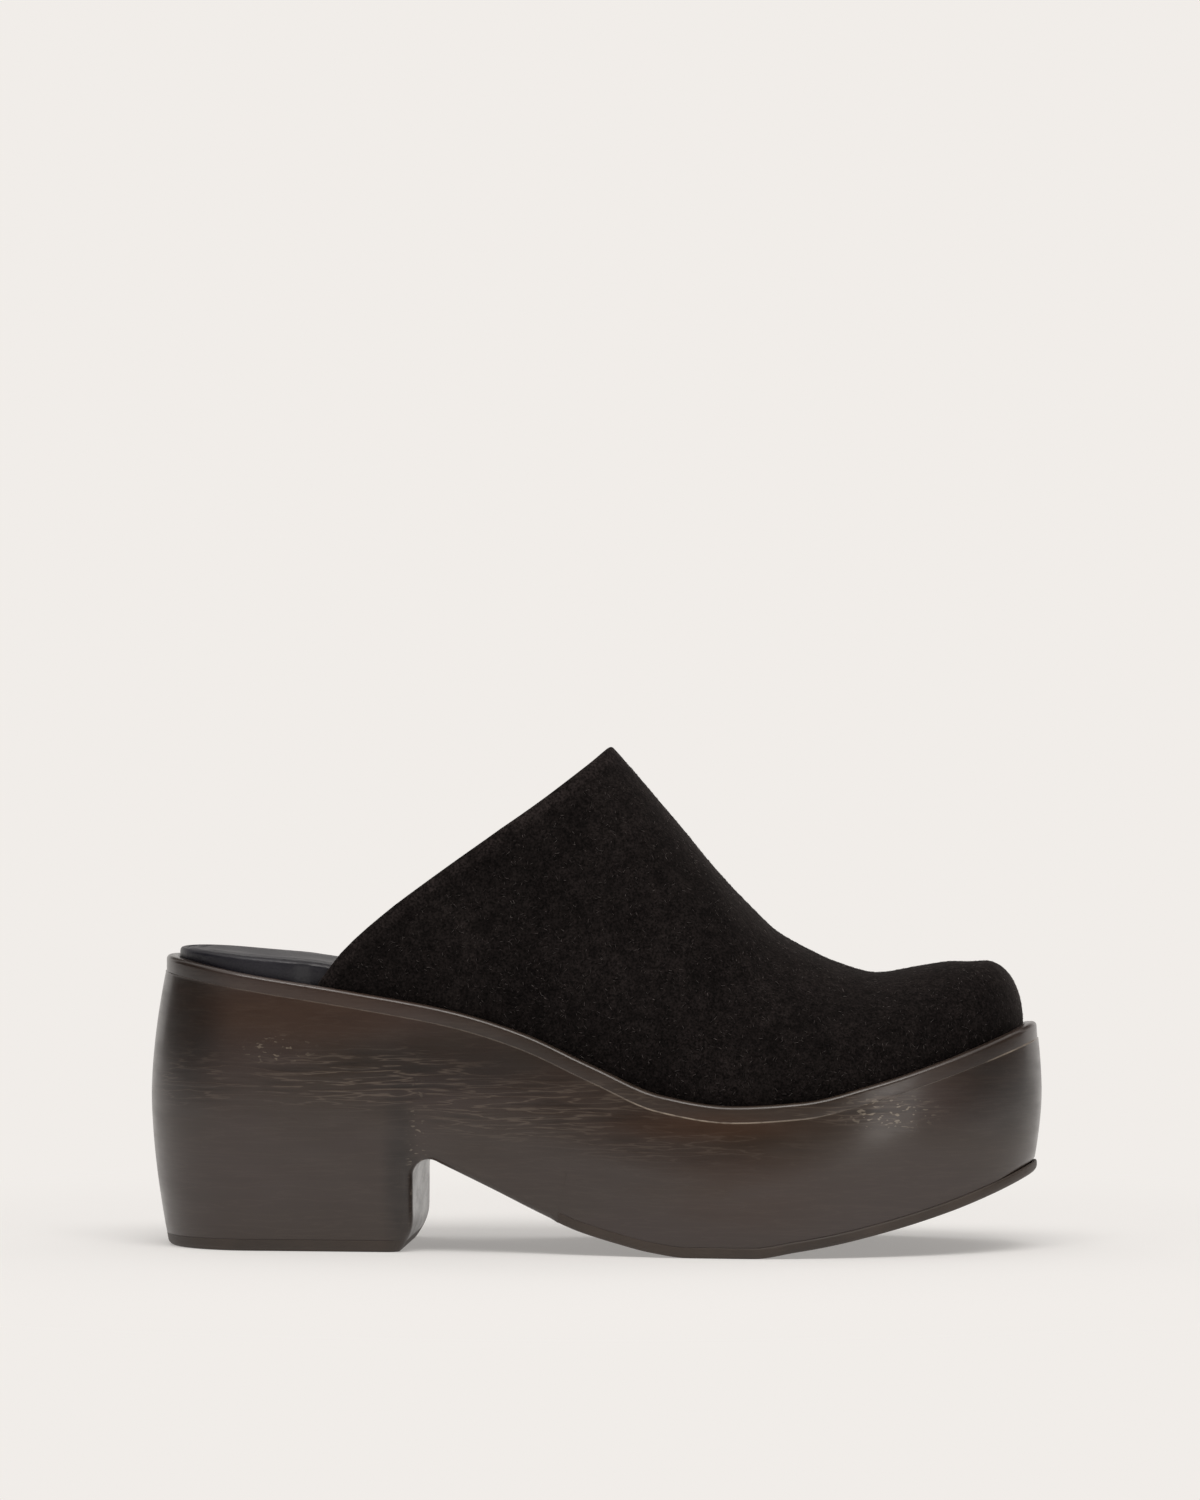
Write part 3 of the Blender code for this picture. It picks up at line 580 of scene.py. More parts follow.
def outline(sides, turns, inset):
    """Points (x, y) of the outline moved inwards by inset."""
    sides, turns = np.broadcast_arrays(sides, turns)
    inset = np.broadcast_to(inset, turns.shape)
    x, y = np.zeros(turns.shape), np.zeros(turns.shape)
    for side, (turn, ox, oy, nx, ny) in OUTLINE.items():
        pick = sides == side
        at = turns[pick]
        x[pick] = np.interp(at, turn, ox) + inset[pick] * np.interp(at, turn, nx)
        y[pick] = np.interp(at, turn, oy) + inset[pick] * np.interp(at, turn, ny)
    return x, y


def drawn_in(turns, level):
    """How far the swelling wall has drawn in at a level of its height."""
    station = distance_at(turns) / LENGTH
    up = np.clip((level - BELLY_LEVEL) / (1 - BELLY_LEVEL), 0, 1) ** BELLY_POWER
    down = np.clip(1 - level / BELLY_LEVEL, 0, 1) ** BELLY_POWER
    return BELLY * (smooth(PLAN, "shoulder", station) * up + smooth(PLAN, "foot", station) * down)


def rim_inset(turns):
    """Inset of the rim's outer face."""
    return drawn_in(turns, RIM_LEVEL) + LEDGE_STEP


def rim_height(sides, turns):
    """Height of the rim's crown, the same across its width."""
    x, _ = outline(sides, turns, rim_inset(turns) + RIM_WIDTH / 2)
    return rim_line(x)


def wall_inset(sides, turns, z):
    """Inset of the swelling wall at a height."""
    x, _ = outline(sides, turns, 0.0)
    low = spring_line(x)
    level = (z - low) / (rim_height(sides, turns) - low)
    return drawn_in(turns, np.clip(level, 0, RIM_LEVEL))


def stack(x, y, z):
    """Rows of (x, y, z)."""
    return np.stack(np.broadcast_arrays(x, y, z), axis=-1)


def end_turns(corner, tip):
    """Outline parameters and sides across an end, outer corner to inner corner."""
    share = np.linspace(-1, 1, ACROSS + 1)
    sides = np.where(share < 0, LATERAL, MEDIAL)
    return sides, tip + (corner - tip) * np.abs(share)


def fade(count, length):
    """Fade from 1 to 0 over the first length of count + 1 places."""
    return 1 - ease(np.arange(count + 1) / length)


class Ring:
    """Order of the points around a piece: outer side, toe end, inner side, back end."""

    def __init__(self, along, across=ACROSS):
        self.along = along
        self.across = across

    def join(self, lateral, toe, medial, back):
        """One loop from four runs that share their corners."""
        return np.concatenate([lateral[:-1], toe[:-1], medial[::-1][:-1], back[::-1][:-1]])

    def turns(self, side_turns, back_corner, toe_corner):
        """Sides and outline parameters around the loop; a cut-off back stays at its start."""
        back = back_corner if back_corner is not None else side_turns[0]
        back_sides, back_turns = end_turns(back, 0.0 if back_corner is not None else back)
        toe_sides, toe_turns = end_turns(toe_corner, 1.0)
        run = np.ones(self.along + 1)
        sides = self.join(run * LATERAL, toe_sides, run * MEDIAL, back_sides)
        return sides, self.join(side_turns, toe_turns, side_turns, back_turns)

    def values(self, along_side, at_back, at_toe):
        """One value per point from a side's values and one for each end."""
        run = np.ones(self.across + 1)
        return self.join(along_side, run * at_toe, along_side, run * at_back)

    def straight_back(self, x, y):
        """The back end drawn straight from side to side."""
        first = 2 * self.along + self.across
        share = np.linspace(0, 1, self.across + 1)[:-1]
        for line in (x, y):
            line[first:] = line[first] + (line[0] - line[first]) * share
        return x, y

    def grid(self, loop, back_fade, toe_fade):
        """Points filling the loop; the ends' bows fade out along the piece."""
        m, k = self.along, self.across
        lateral, toe = loop[:m + 1], loop[m:m + k + 1]
        medial = loop[m + k:2 * m + k + 1][::-1]
        back = np.concatenate([loop[2 * m + k:], loop[:1]])[::-1]
        share = np.linspace(0, 1, k + 1)[None, :, None]
        fill = lateral[:, None] * (1 - share) + medial[:, None] * share
        for end, weight in ((back, back_fade), (toe, toe_fade)):
            bow = end - (end[0] + (end[-1] - end[0]) * share[0])
            fill = fill + weight[:, None, None] * bow[None]
        return fill

    def border(self):
        """Grid rows and columns of the loop's points, in the loop's order."""
        m, k = self.along, self.across
        rows = [np.arange(m), np.full(k, m), np.arange(m, 0, -1), np.zeros(k, int)]
        columns = [np.zeros(m, int), np.arange(k), np.full(m, k), np.arange(k, 0, -1)]
        return np.concatenate(rows), np.concatenate(columns)

    def inside(self):
        """Grid of 0 on the border to 1 in the middle lines, across and along."""
        across = 1 - np.abs(np.linspace(-1, 1, self.across + 1))
        along = 1 - np.abs(np.linspace(-1, 1, self.along + 1))
        return along[:, None], across[None]


class Mesh:
    """Collects points and faces, and makes a piece of them."""

    def __init__(self):
        self.points = []
        self.faces = []
        self.count = 0

    def add(self, points):
        """Add points of any array shape and give their indices in that shape."""
        flat = points.reshape(-1, 3)
        index = self.count + np.arange(len(flat)).reshape(points.shape[:-1])
        self.points.append(flat)
        self.count += len(flat)
        return index

    def quads(self, *corners):
        """Faces from arrays of corner indices."""
        self.faces += np.stack(corners, axis=-1).reshape(-1, len(corners)).tolist()

    def bridge(self, low, high):
        """Wall of quads from a closed loop up to the next."""
        self.quads(low, np.roll(low, -1), np.roll(high, -1), high)

    def polygons(self, faces, flip):
        """Faces from lists of indices, turned over where flip is set."""
        for face in faces:
            corners = [int(corner) for corner in face]
            self.faces.append(corners[::-1] if flip else corners)

    def sheet(self, index):
        """Quads over a grid of indices."""
        self.quads(index[:-1, :-1], index[1:, :-1], index[1:, 1:], index[:-1, 1:])

    def cap(self, ring, loop, grid, up):
        """Fill a closed loop with the inner points of a grid, facing up or down."""
        index = np.empty((ring.along + 1, ring.across + 1), int)
        index[1:-1, 1:-1] = self.add(grid[1:-1, 1:-1])
        index[ring.border()] = loop
        self.sheet(index if up else index[:, ::-1])

    def where(self):
        """All points so far."""
        return np.concatenate(self.points)

    def piece(self, name, material, attributes=()):
        """Make the object, shaded smooth apart from its folds."""
        mesh = bpy.data.meshes.new(name)
        mesh.from_pydata((self.where() + SHIFT).tolist(), [], self.faces)
        for label, values in attributes:
            layer = mesh.attributes.new(label, "FLOAT", "POINT")
            layer.data.foreach_set("value", np.asarray(values, np.float32))
        mesh.validate()
        mesh.shade_smooth()
        mesh.set_sharp_from_angle(angle=SHARP_FOLD)
        mesh.materials.append(material)
        part = bpy.data.objects.new(name, mesh)
        bpy.context.scene.collection.objects.link(part)
        return part


class Finish:
    """Adds nodes to one material and links them."""

    def __init__(self, name, roughness, specular):
        self.material = bpy.data.materials.new(name)
        self.material.use_nodes = True
        self.tree = self.material.node_tree
        self.shader = self.tree.nodes["Principled BSDF"]
        self.shader.inputs["Roughness"].default_value = roughness
        self.shader.inputs["Specular IOR Level"].default_value = specular
        self.place = self.add("ShaderNodeTexCoord").outputs["Object"]

    def add(self, kind, **settings):
        """Add a node with its settings."""
        node = self.tree.nodes.new(kind)
        for name, value in settings.items():
            setattr(node, name, value)
        return node

    def feed(self, socket, value):
        """Link a socket's value, or set it where it is a plain number, colour or vector."""
        if isinstance(value, bpy.types.NodeSocket):
            self.tree.links.new(value, socket)
        else:
            socket.default_value = value

    def scaled(self, vector, scale, shift=(0.0, 0.0, 0.0), turn=(0.0, 0.0, 0.0)):
        """A vector stretched, turned and moved."""
        node = self.add("ShaderNodeMapping")
        self.feed(node.inputs["Vector"], vector)
        node.inputs["Scale"].default_value = scale
        node.inputs["Location"].default_value = shift
        node.inputs["Rotation"].default_value = turn
        return node.outputs["Vector"]

    def noise(self, vector, scale=1.0, detail=2.0, roughness=0.5, distortion=0.0):
        """Soft noise from 0 to 1."""
        node = self.add("ShaderNodeTexNoise")
        self.feed(node.inputs["Vector"], vector)
        node.inputs["Scale"].default_value = scale
        node.inputs["Detail"].default_value = detail
        node.inputs["Roughness"].default_value = roughness
        node.inputs["Distortion"].default_value = distortion
        return node.outputs["Fac"]

    def cells(self, vector, scale, feature="F1"):
        """Distances in a field of cells."""
        node = self.add("ShaderNodeTexVoronoi", feature=feature)
        self.feed(node.inputs["Vector"], vector)
        node.inputs["Scale"].default_value = scale
        return node.outputs["Distance"]

    def math(self, operation, first, second=0.0, third=0.0):
        """Arithmetic on values."""
        node = self.add("ShaderNodeMath", operation=operation)
        for socket, value in zip(node.inputs, (first, second, third)):
            self.feed(socket, value)
        return node.outputs["Value"]

    def span(self, value, low, high, to_low=0.0, to_high=1.0):
        """Smooth step of a value between two limits, to two other limits."""
        node = self.add("ShaderNodeMapRange", interpolation_type="SMOOTHSTEP")
        for name, number in (("Value", value), ("From Min", low), ("From Max", high),
                             ("To Min", to_low), ("To Max", to_high)):
            self.feed(node.inputs[name], number)
        return node.outputs["Result"]

    def blend(self, factor, first, second):
        """Mix of two colours."""
        node = self.add("ShaderNodeMix", data_type="RGBA")
        self.feed(node.inputs["Factor"], factor)
        for socket, colour in ((node.inputs["A"], first), (node.inputs["B"], second)):
            plain = not isinstance(colour, bpy.types.NodeSocket)
            self.feed(socket, (*colour, 1.0) if plain else colour)
        return node.outputs["Result"]

    def value(self, label):
        """A value stored on the mesh."""
        node = self.add("ShaderNodeAttribute", attribute_name=label)
        return node.outputs["Fac"]

    def ellipse(self, field):
        """Soft ellipse seen from the side: 1 in its middle, 0 outside."""
        scale = (1 / field.reach_x, 0.0, 1 / field.reach_z)
        shift = (-field.x / field.reach_x, 0.0, -field.z / field.reach_z)
        length = self.add("ShaderNodeVectorMath", operation="LENGTH")
        self.feed(length.inputs[0], self.scaled(self.place, scale, shift))
        return self.span(length.outputs["Value"], 1.25, 0.25)

    def fields(self, fields, rest):
        """Greatest of several soft ellipses, no less than rest."""
        most = rest
        for field in fields:
            share = self.math("MULTIPLY", self.ellipse(field), field.strength)
            most = self.math("MAXIMUM", share, most)
        return most

    def swayed(self, vector, scale, reach):
        """A vector lifted by slow noise, so that level lines wander."""
        slow = self.noise(self.scaled(vector, (scale, scale, 2.0 * scale)), detail=1.0)
        lift = self.add("ShaderNodeCombineXYZ")
        self.feed(lift.inputs["Z"], self.math("MULTIPLY", slow, reach))
        bent = self.add("ShaderNodeVectorMath", operation="ADD")
        self.feed(bent.inputs[0], vector)
        self.feed(bent.inputs[1], lift.outputs["Vector"])
        return bent.outputs["Vector"]

    def shaded(self, colour, factor):
        """A plain colour multiplied by a varying factor."""
        shade = self.add("ShaderNodeMix", data_type="RGBA", blend_type="MULTIPLY")
        shade.inputs["Factor"].default_value = 1.0
        shade.inputs["A"].default_value = (*colour, 1.0)
        self.feed(shade.inputs["B"], factor)
        return shade.outputs["Result"]

    def bump(self, height, distance, strength=1.0, normal=None):
        """Relief of a height from 0 to 1, over a distance in metres."""
        node = self.add("ShaderNodeBump")
        node.inputs["Strength"].default_value = strength
        node.inputs["Distance"].default_value = distance
        self.feed(node.inputs["Height"], height)
        if normal is not None:
            self.feed(node.inputs["Normal"], normal)
        return node.outputs["Normal"]

    def done(self, **links):
        """Link the shader's sockets, named with underscores for spaces."""
        for name, value in links.items():
            self.feed(self.shader.inputs[name.replace("_", " ")], value)
        return self.material


def setting(finish, **numbers):
    """Set plain numbers on the shader's own sockets."""
    for name, number in numbers.items():
        finish.shader.inputs[name.replace("_", " ")].default_value = number


def stained_wood(colours):
    """Stained wood look under a satin varnish: tone patches with painted shade and reflections,
    grain lines, painted highlight along the ledge.
    """
    finish = Finish("stained_wood", 0.33, 0.50)
    setting(finish, Coat_Weight=0.20, Coat_Roughness=0.16, Coat_IOR=1.5)
    tones = {"dark": colours.dark_stain_and_shade, "warm": colours.stain_warm, "pale": colours.pale_stain_and_reflection}
    cloud = finish.noise(finish.scaled(finish.place, (16.0, 16.0, 40.0)), detail=3.0)
    colour = finish.blend(finish.span(cloud, 0.35, 0.70), tuple(colours.stain),
                          tuple(colours.pale_stain_and_reflection))
    ragged = finish.noise(finish.scaled(finish.place, (60.0, 60.0, 190.0)), detail=3.0)
    # Tone patches: warm rows are the stain's own tone, dark rows paint shade and dark reflections,
    # pale rows paint the floor's reflection
    for patch in STAIN_AND_PAINTED_LIGHT:
        share = finish.span(ragged, 0.25, 0.65, 0.65 * patch.strength, patch.strength)
        colour = finish.blend(finish.math("MULTIPLY", finish.ellipse(patch), share), colour,
                              tuple(tones[patch.tone]))

    bent = finish.swayed(finish.place, 24.0, 0.0030)
    grain = finish.noise(finish.scaled(bent, (48.0, 48.0, 640.0)), detail=2.0)
    fine = finish.noise(finish.scaled(bent, (150.0, 150.0, 2600.0)), detail=1.0)
    field = finish.fields(GRAIN_FIELDS, 0.10)
    line = finish.math("ABSOLUTE", finish.math("SUBTRACT", grain, 0.52))
    light = finish.math("MULTIPLY", finish.span(line, 0.036, 0.008), field)
    dark = finish.math("MULTIPLY", finish.span(grain, 0.48, 0.30), field)
    colour = finish.blend(finish.math("MULTIPLY", light, 0.55), colour, tuple(colours.grain))
    colour = finish.blend(finish.math("MULTIPLY", dark, 0.60), colour, tuple(colours.dark_stain_and_shade))
    # Painted highlight along the ledge, made patchy by fine noise
    highlight_breakup = finish.noise(finish.scaled(finish.place, (260.0, 260.0, 260.0)), detail=2.0)
    ledge_highlight_mask = finish.math("MULTIPLY", finish.value("ledge"), finish.fields(LEDGE_HIGHLIGHT_FIELDS, 0.04))
    ledge_highlight_mask = finish.math("MULTIPLY", ledge_highlight_mask, finish.span(highlight_breakup, 0.30, 0.55, 0.35, 1.0))
    colour = finish.blend(ledge_highlight_mask, colour, LEDGE_HIGHLIGHT)
    dash = finish.noise(finish.scaled(bent, (420.0, 420.0, 1100.0)), detail=1.0)
    specks = finish.math("MULTIPLY", finish.span(dash, 0.60, 0.66),
                         finish.fields(SPECKLE_FIELDS, 0.0))
    colour = finish.blend(finish.math("MULTIPLY", specks, 0.70), colour, SPECK_COLOUR)

    relief = finish.bump(fine, 0.000015)
    streak = finish.math("MULTIPLY", grain, finish.math("ADD", field, 0.15))
    relief = finish.bump(streak, 0.00006, normal=relief)
    ripple = finish.noise(finish.scaled(finish.place, (40.0, 40.0, 60.0)), detail=2.0)
    relief = finish.bump(ripple, 0.00025, normal=relief)
    gloss = finish.span(ragged, 0.30, 0.70, 0.28, 0.38)
    return finish.done(Base_Color=colour, Roughness=gloss, Normal=relief)


def black_suede(colours):
    """Suede: short nap with soft tone clouds and a sheen at grazing angles."""
    finish = Finish("black_suede", 0.95, 0.05)
    setting(finish, Sheen_Weight=0.12, Sheen_Roughness=0.40)
    finish.shader.inputs["Sheen Tint"].default_value = (0.55, 0.48, 0.46, 1.0)
    cloud = finish.noise(finish.place, 40.0, 4.0)
    tuft = finish.noise(finish.place, 330.0, 3.0, 0.6, 0.6)
    nap = finish.noise(finish.place, 1500.0, 3.0, 0.65)
    tone = finish.math("MULTIPLY", finish.span(cloud, 0.30, 0.72, 0.75, 1.25),
                       finish.span(tuft, 0.30, 0.72, 0.70, 1.45))
    tone = finish.math("MULTIPLY", tone, finish.span(nap, 0.32, 0.70, 0.40, 1.95))
    tone = finish.math("MULTIPLY", tone, finish.math("ADD", finish.value("fold"), 1.0))
    relief = finish.bump(tuft, 0.00030)
    relief = finish.bump(nap, 0.00012, normal=relief)
    return finish.done(Base_Color=finish.shaded(colours.suede, tone), Normal=relief)


def nap_fibre(colours):
    """Loose suede fibres, some a little and some much paler than the suede."""
    finish = Finish("nap_fibre", 0.85, 0.15)
    colour = finish.blend(finish.value("pale"), tuple(2.0 * c for c in colours.suede),
                          PALE_FIBRE)
    return finish.done(Base_Color=colour)


def smooth_leather(colours):
    """Dark leather with a fine pebble and a light gloss."""
    finish = Finish("smooth_leather", 0.44, 0.50)
    pebble = finish.cells(finish.place, 1100.0)
    fine = finish.noise(finish.place, 2600.0, 3.0)
    cloud = finish.noise(finish.place, 45.0, 3.0)
    colour = finish.blend(finish.span(cloud, 0.30, 0.70), tuple(0.85 * c for c in colours.leather),
                          tuple(1.15 * c for c in colours.leather))
    relief = finish.bump(fine, 0.00002)
    relief = finish.bump(pebble, 0.00006, normal=relief)
    gloss = finish.span(cloud, 0.30, 0.70, 0.40, 0.48)
    return finish.done(Base_Color=colour, Roughness=gloss, Normal=relief)


def moulded_rubber(colours):
    """Matt moulded rubber with a fine skin."""
    finish = Finish("moulded_rubber", 0.55, 0.40)
    skin = finish.noise(finish.place, 1500.0, 3.0)
    cloud = finish.noise(finish.place, 60.0, 2.0)
    colour = finish.blend(finish.span(cloud, 0.30, 0.70), tuple(0.85 * c for c in colours.rubber),
                          tuple(1.20 * c for c in colours.rubber))
    relief = finish.bump(skin, 0.00003)
    gloss = finish.span(cloud, 0.30, 0.70, 0.50, 0.62)
    return finish.done(Base_Color=colour, Roughness=gloss, Normal=relief)


def breast_front(z):
    """Distance of the heel's front face at a height, curving back towards the floor."""
    return HEEL_BASE - BREAST_TOE_RUN * np.clip(1 - z / BREAST_TOE_RISE, 0, 1) ** 2


def slope_of(line, x, reach=0.001):
    """Slope of a line of the side view."""
    return float(line(x + reach) - line(x - reach)) / (2 * reach)


# A point of the platform's underside from the side: distance, height, normal into the body,
# radius of the edge there, and its lift over under_line, or FIXED where the height is its own.
Edge = namedtuple("Edge", "x z nx nz radius lift")
FIXED = -1.0


def underside_path():
    """Side view of the platform's underside between the corners, from heel to toe."""
    base = LIFT_THICKNESS + BOND_GAP
    lift = OUTSOLE_THICKNESS + BOND_GAP
    step = OUTSOLE_START - BOND_GAP
    rows = []
    heel_end = turn_at(breast_front(base) - BREAST_CORNER)
    for x in distance_at(np.linspace(BACK_CORNER, heel_end, HEEL_STEPS + 1)):
        rows.append(Edge(x, base, 0, 1, SEAM_ROUND, FIXED))
    for z in np.linspace(base, BREAST_TOE_RISE, BREAST_STEPS + 1):
        rows.append(Edge(breast_front(z), z, -1, 0, BREAST_CORNER, FIXED))

    lean = -math.atan(slope_of(under_line, HEEL_BASE + 2 * ARCH_ROUND))
    touch = HEEL_BASE + ARCH_ROUND * (1 + math.sin(lean))
    middle_x = HEEL_BASE + ARCH_ROUND
    middle_z = float(under_line(touch)) - ARCH_ROUND * math.cos(lean)
    for z in np.linspace(BREAST_TOE_RISE, middle_z, BREAST_STEPS + 1)[1:-1]:
        rows.append(Edge(HEEL_BASE, z, -1, 0, BREAST_CORNER, FIXED))
    for angle in np.linspace(math.pi, math.pi / 2 - lean, ARC_STEPS + 1):
        c, s = math.cos(angle), math.sin(angle)
        radius = BREAST_CORNER + (EDGE_ROUND - BREAST_CORNER) * (1 + c)
        rows.append(Edge(middle_x + ARCH_ROUND * c, middle_z + ARCH_ROUND * s, c, s,
                         radius, FIXED))

    for x in np.linspace(touch, step - EDGE_ROUND, ARCH_STEPS + 1)[1:]:
        slope = slope_of(under_line, x)
        size = math.hypot(1, slope)
        rows.append(Edge(x, float(under_line(x)), -slope / size, 1 / size, EDGE_ROUND, 0.0))
    rows.append(Edge(step, float(under_line(step)), -DIAGONAL, DIAGONAL, SEAM_ROUND, 0.0))
    for x in distance_at(np.linspace(turn_at(step), TOE_CORNER, FOREFOOT_STEPS + 1)):
        rows.append(Edge(x, float(under_line(x)) + lift, 0, 1, SEAM_ROUND, lift))
    return rows


def platform_mesh():
    """Fine platform, and how close each of its points is to the ledge under the rim."""
    path = underside_path()
    along = len(path) - 1
    ring = Ring(along)
    edge = Edge(*(np.array(column, dtype=float) for column in zip(*path)))
    even = np.linspace(BACK_CORNER, TOE_CORNER, along + 1)
    top = TOP_FOLLOWS * turn_at(edge.x) + (1 - TOP_FOLLOWS) * even

    sides, low_turn = ring.turns(turn_at(edge.x), BACK_CORNER, TOE_CORNER)
    high_turn = ring.turns(top, BACK_CORNER, TOE_CORNER)[1]
    on_side, start_x = ring.values(np.ones(along + 1), 0, 0), ring.values(edge.x, 0, 0)
    height = ring.values(edge.z, edge.z[0], edge.z[-1])
    normal_x, normal_z = ring.values(edge.nx, 0, 0), ring.values(edge.nz, 1, 1)
    radius = ring.values(edge.radius, SEAM_ROUND, SEAM_ROUND)
    lift = ring.values(edge.lift, edge.lift[0], edge.lift[-1])

    body = Mesh()
    loops = []
    for angle in np.linspace(math.pi / 2, 0, ARC_STEPS + 1):
        out = radius * (1 - math.sin(angle))
        turns = np.where(on_side > 0, turn_at(start_x + normal_x * out), low_turn)
        inset = wall_inset(sides, turns, height) + radius * (1 - math.cos(angle))
        x, y = outline(sides, turns, inset)
        z = np.where(lift >= 0, under_line(x) + lift, height) + normal_z * out
        loops.append(body.add(stack(x, y, z)))
    crown = rim_height(sides, high_turn)
    ledge = crown - LEDGE_DROP
    shares = list(np.linspace(0, 1, WALL_LEVELS + 1)[1:-1])
    shares += [1 - below / (ledge - z) for below in (0.0007, 0.00025, 0.0)]
    for share in shares:
        level_turns = turns + (high_turn - turns) * share
        level = z + (ledge - z) * share
        inset = wall_inset(sides, level_turns, level)
        loops.append(body.add(stack(*outline(sides, level_turns, inset), level)))
    on_ledge = [loops[-1]]

    face = rim_inset(high_turn)
    band = wall_inset(sides, high_turn, ledge) + LEDGE_STEP
    for share in (0.5, 1.0):
        x, y = outline(sides, high_turn, band - LEDGE_STEP * (1 - share))
        on_ledge.append(body.add(stack(x, y, ledge + LEDGE_STEP / 2 * share)))
    loops += on_ledge[1:]
    x, y = outline(sides, high_turn, band)
    loops.append(body.add(stack(x, y, ledge + LEDGE_STEP / 2 + 0.0002)))
    for angle in np.linspace(0, math.pi, 2 * ARC_STEPS - 1):
        shift = RIM_ROUND * (1 - abs(math.cos(angle)))
        inset = face + (shift if math.cos(angle) > 0 else RIM_WIDTH - shift)
        level = crown - RIM_ROUND * (1 - math.sin(angle))
        loops.append(body.add(stack(*outline(sides, high_turn, inset), level)))
    x, y = outline(sides, high_turn, face + RIM_WIDTH)
    floor = stack(x, y, floor_line(x))
    loops.append(body.add(floor))
    for low, high in zip(loops, loops[1:]):
        body.bridge(low, high)

    bottom = body.where()[loops[0]]
    fades = fade(along, HEEL_BOW * HEEL_STEPS), fade(along, TOE_BOW * FOREFOOT_STEPS)[::-1]
    body.cap(ring, loops[0], ring.grid(bottom, *fades), False)
    bed = ring.grid(floor, fade(along, along), fade(along, along)[::-1])
    bed[..., 2] = floor_line(bed[..., 0])
    body.cap(ring, loops[-1], bed, True)
    near_ledge = np.zeros(body.count)
    near_ledge[np.concatenate(on_ledge)] = 1.0
    return body, near_ledge


def tread_groove(x, y, sizes):
    """Share of a groove's depth over the treads: wavy grooves from side to side."""
    wave = GROOVE_WAVE * np.sin(2 * math.pi * y / GROOVE_WAVE_PITCH)
    phase = ((x + wave) / sizes.tread_pitch) % 1.0
    from_middle = np.abs(phase - 0.5) * sizes.tread_pitch
    return 1 - ease((from_middle - GROOVE_HALF) / GROOVE_SLOPE)


def outsole_mesh(sizes):
    """Fine rubber tread under the forefoot, grooved underneath."""
    along = TREAD_STEPS
    ring = Ring(along)
    side_turns = turn_at(np.linspace(OUTSOLE_START, distance_at(TOE_CORNER), along + 1))
    sides, turns = ring.turns(side_turns, None, TOE_CORNER)
    body = Mesh()
    loops = []
    levels = [(OUTSOLE_ROUND * (1 - math.cos(a)), OUTSOLE_ROUND * (1 - math.sin(a)), 1.0)
              for a in np.linspace(math.pi / 2, 0, ARC_STEPS)]
    levels += [(0.0, OUTSOLE_THICKNESS - OUTSOLE_SHOULDER * (1 - math.sin(a)), math.cos(a))
               for a in np.linspace(0, math.pi / 2, ARC_STEPS)]
    for inset, lift, share in levels:
        x, _ = outline(sides, turns, 0.0)
        wall = wall_inset(sides, turns, under_line(x) + OUTSOLE_THICKNESS)
        grown = ease((x - OUTSOLE_START - OUTSOLE_FLUSH_RUN) / OUTSOLE_FLUSH_FADE)
        proud = OUTSOLE_PROUD * share * (OUTSOLE_FLUSH + (1 - OUTSOLE_FLUSH) * grown)
        x, y = outline(sides, turns, wall - proud + inset)
        x, y = ring.straight_back(x, y)
        loops.append(body.add(stack(x, y, under_line(x) + lift)))
    for low, high in zip(loops, loops[1:]):
        body.bridge(low, high)
    across = ease(ring.inside()[1] / 0.12)
    along_share = ease(ring.inside()[0] / 0.06)
    for loop, lift, up in ((loops[0], 0.0, False), (loops[-1], OUTSOLE_THICKNESS, True)):
        toe_fade = fade(along, TOE_BOW * along)[::-1]
        grid = ring.grid(body.where()[loop], np.zeros(along + 1), toe_fade)
        grid[..., 2] = under_line(grid[..., 0]) + lift
        if not up:
            groove = tread_groove(grid[..., 0], grid[..., 1], sizes) * across * along_share
            grid[..., 2] += sizes.tread_depth * groove
        body.cap(ring, loop, grid, up)
    return body


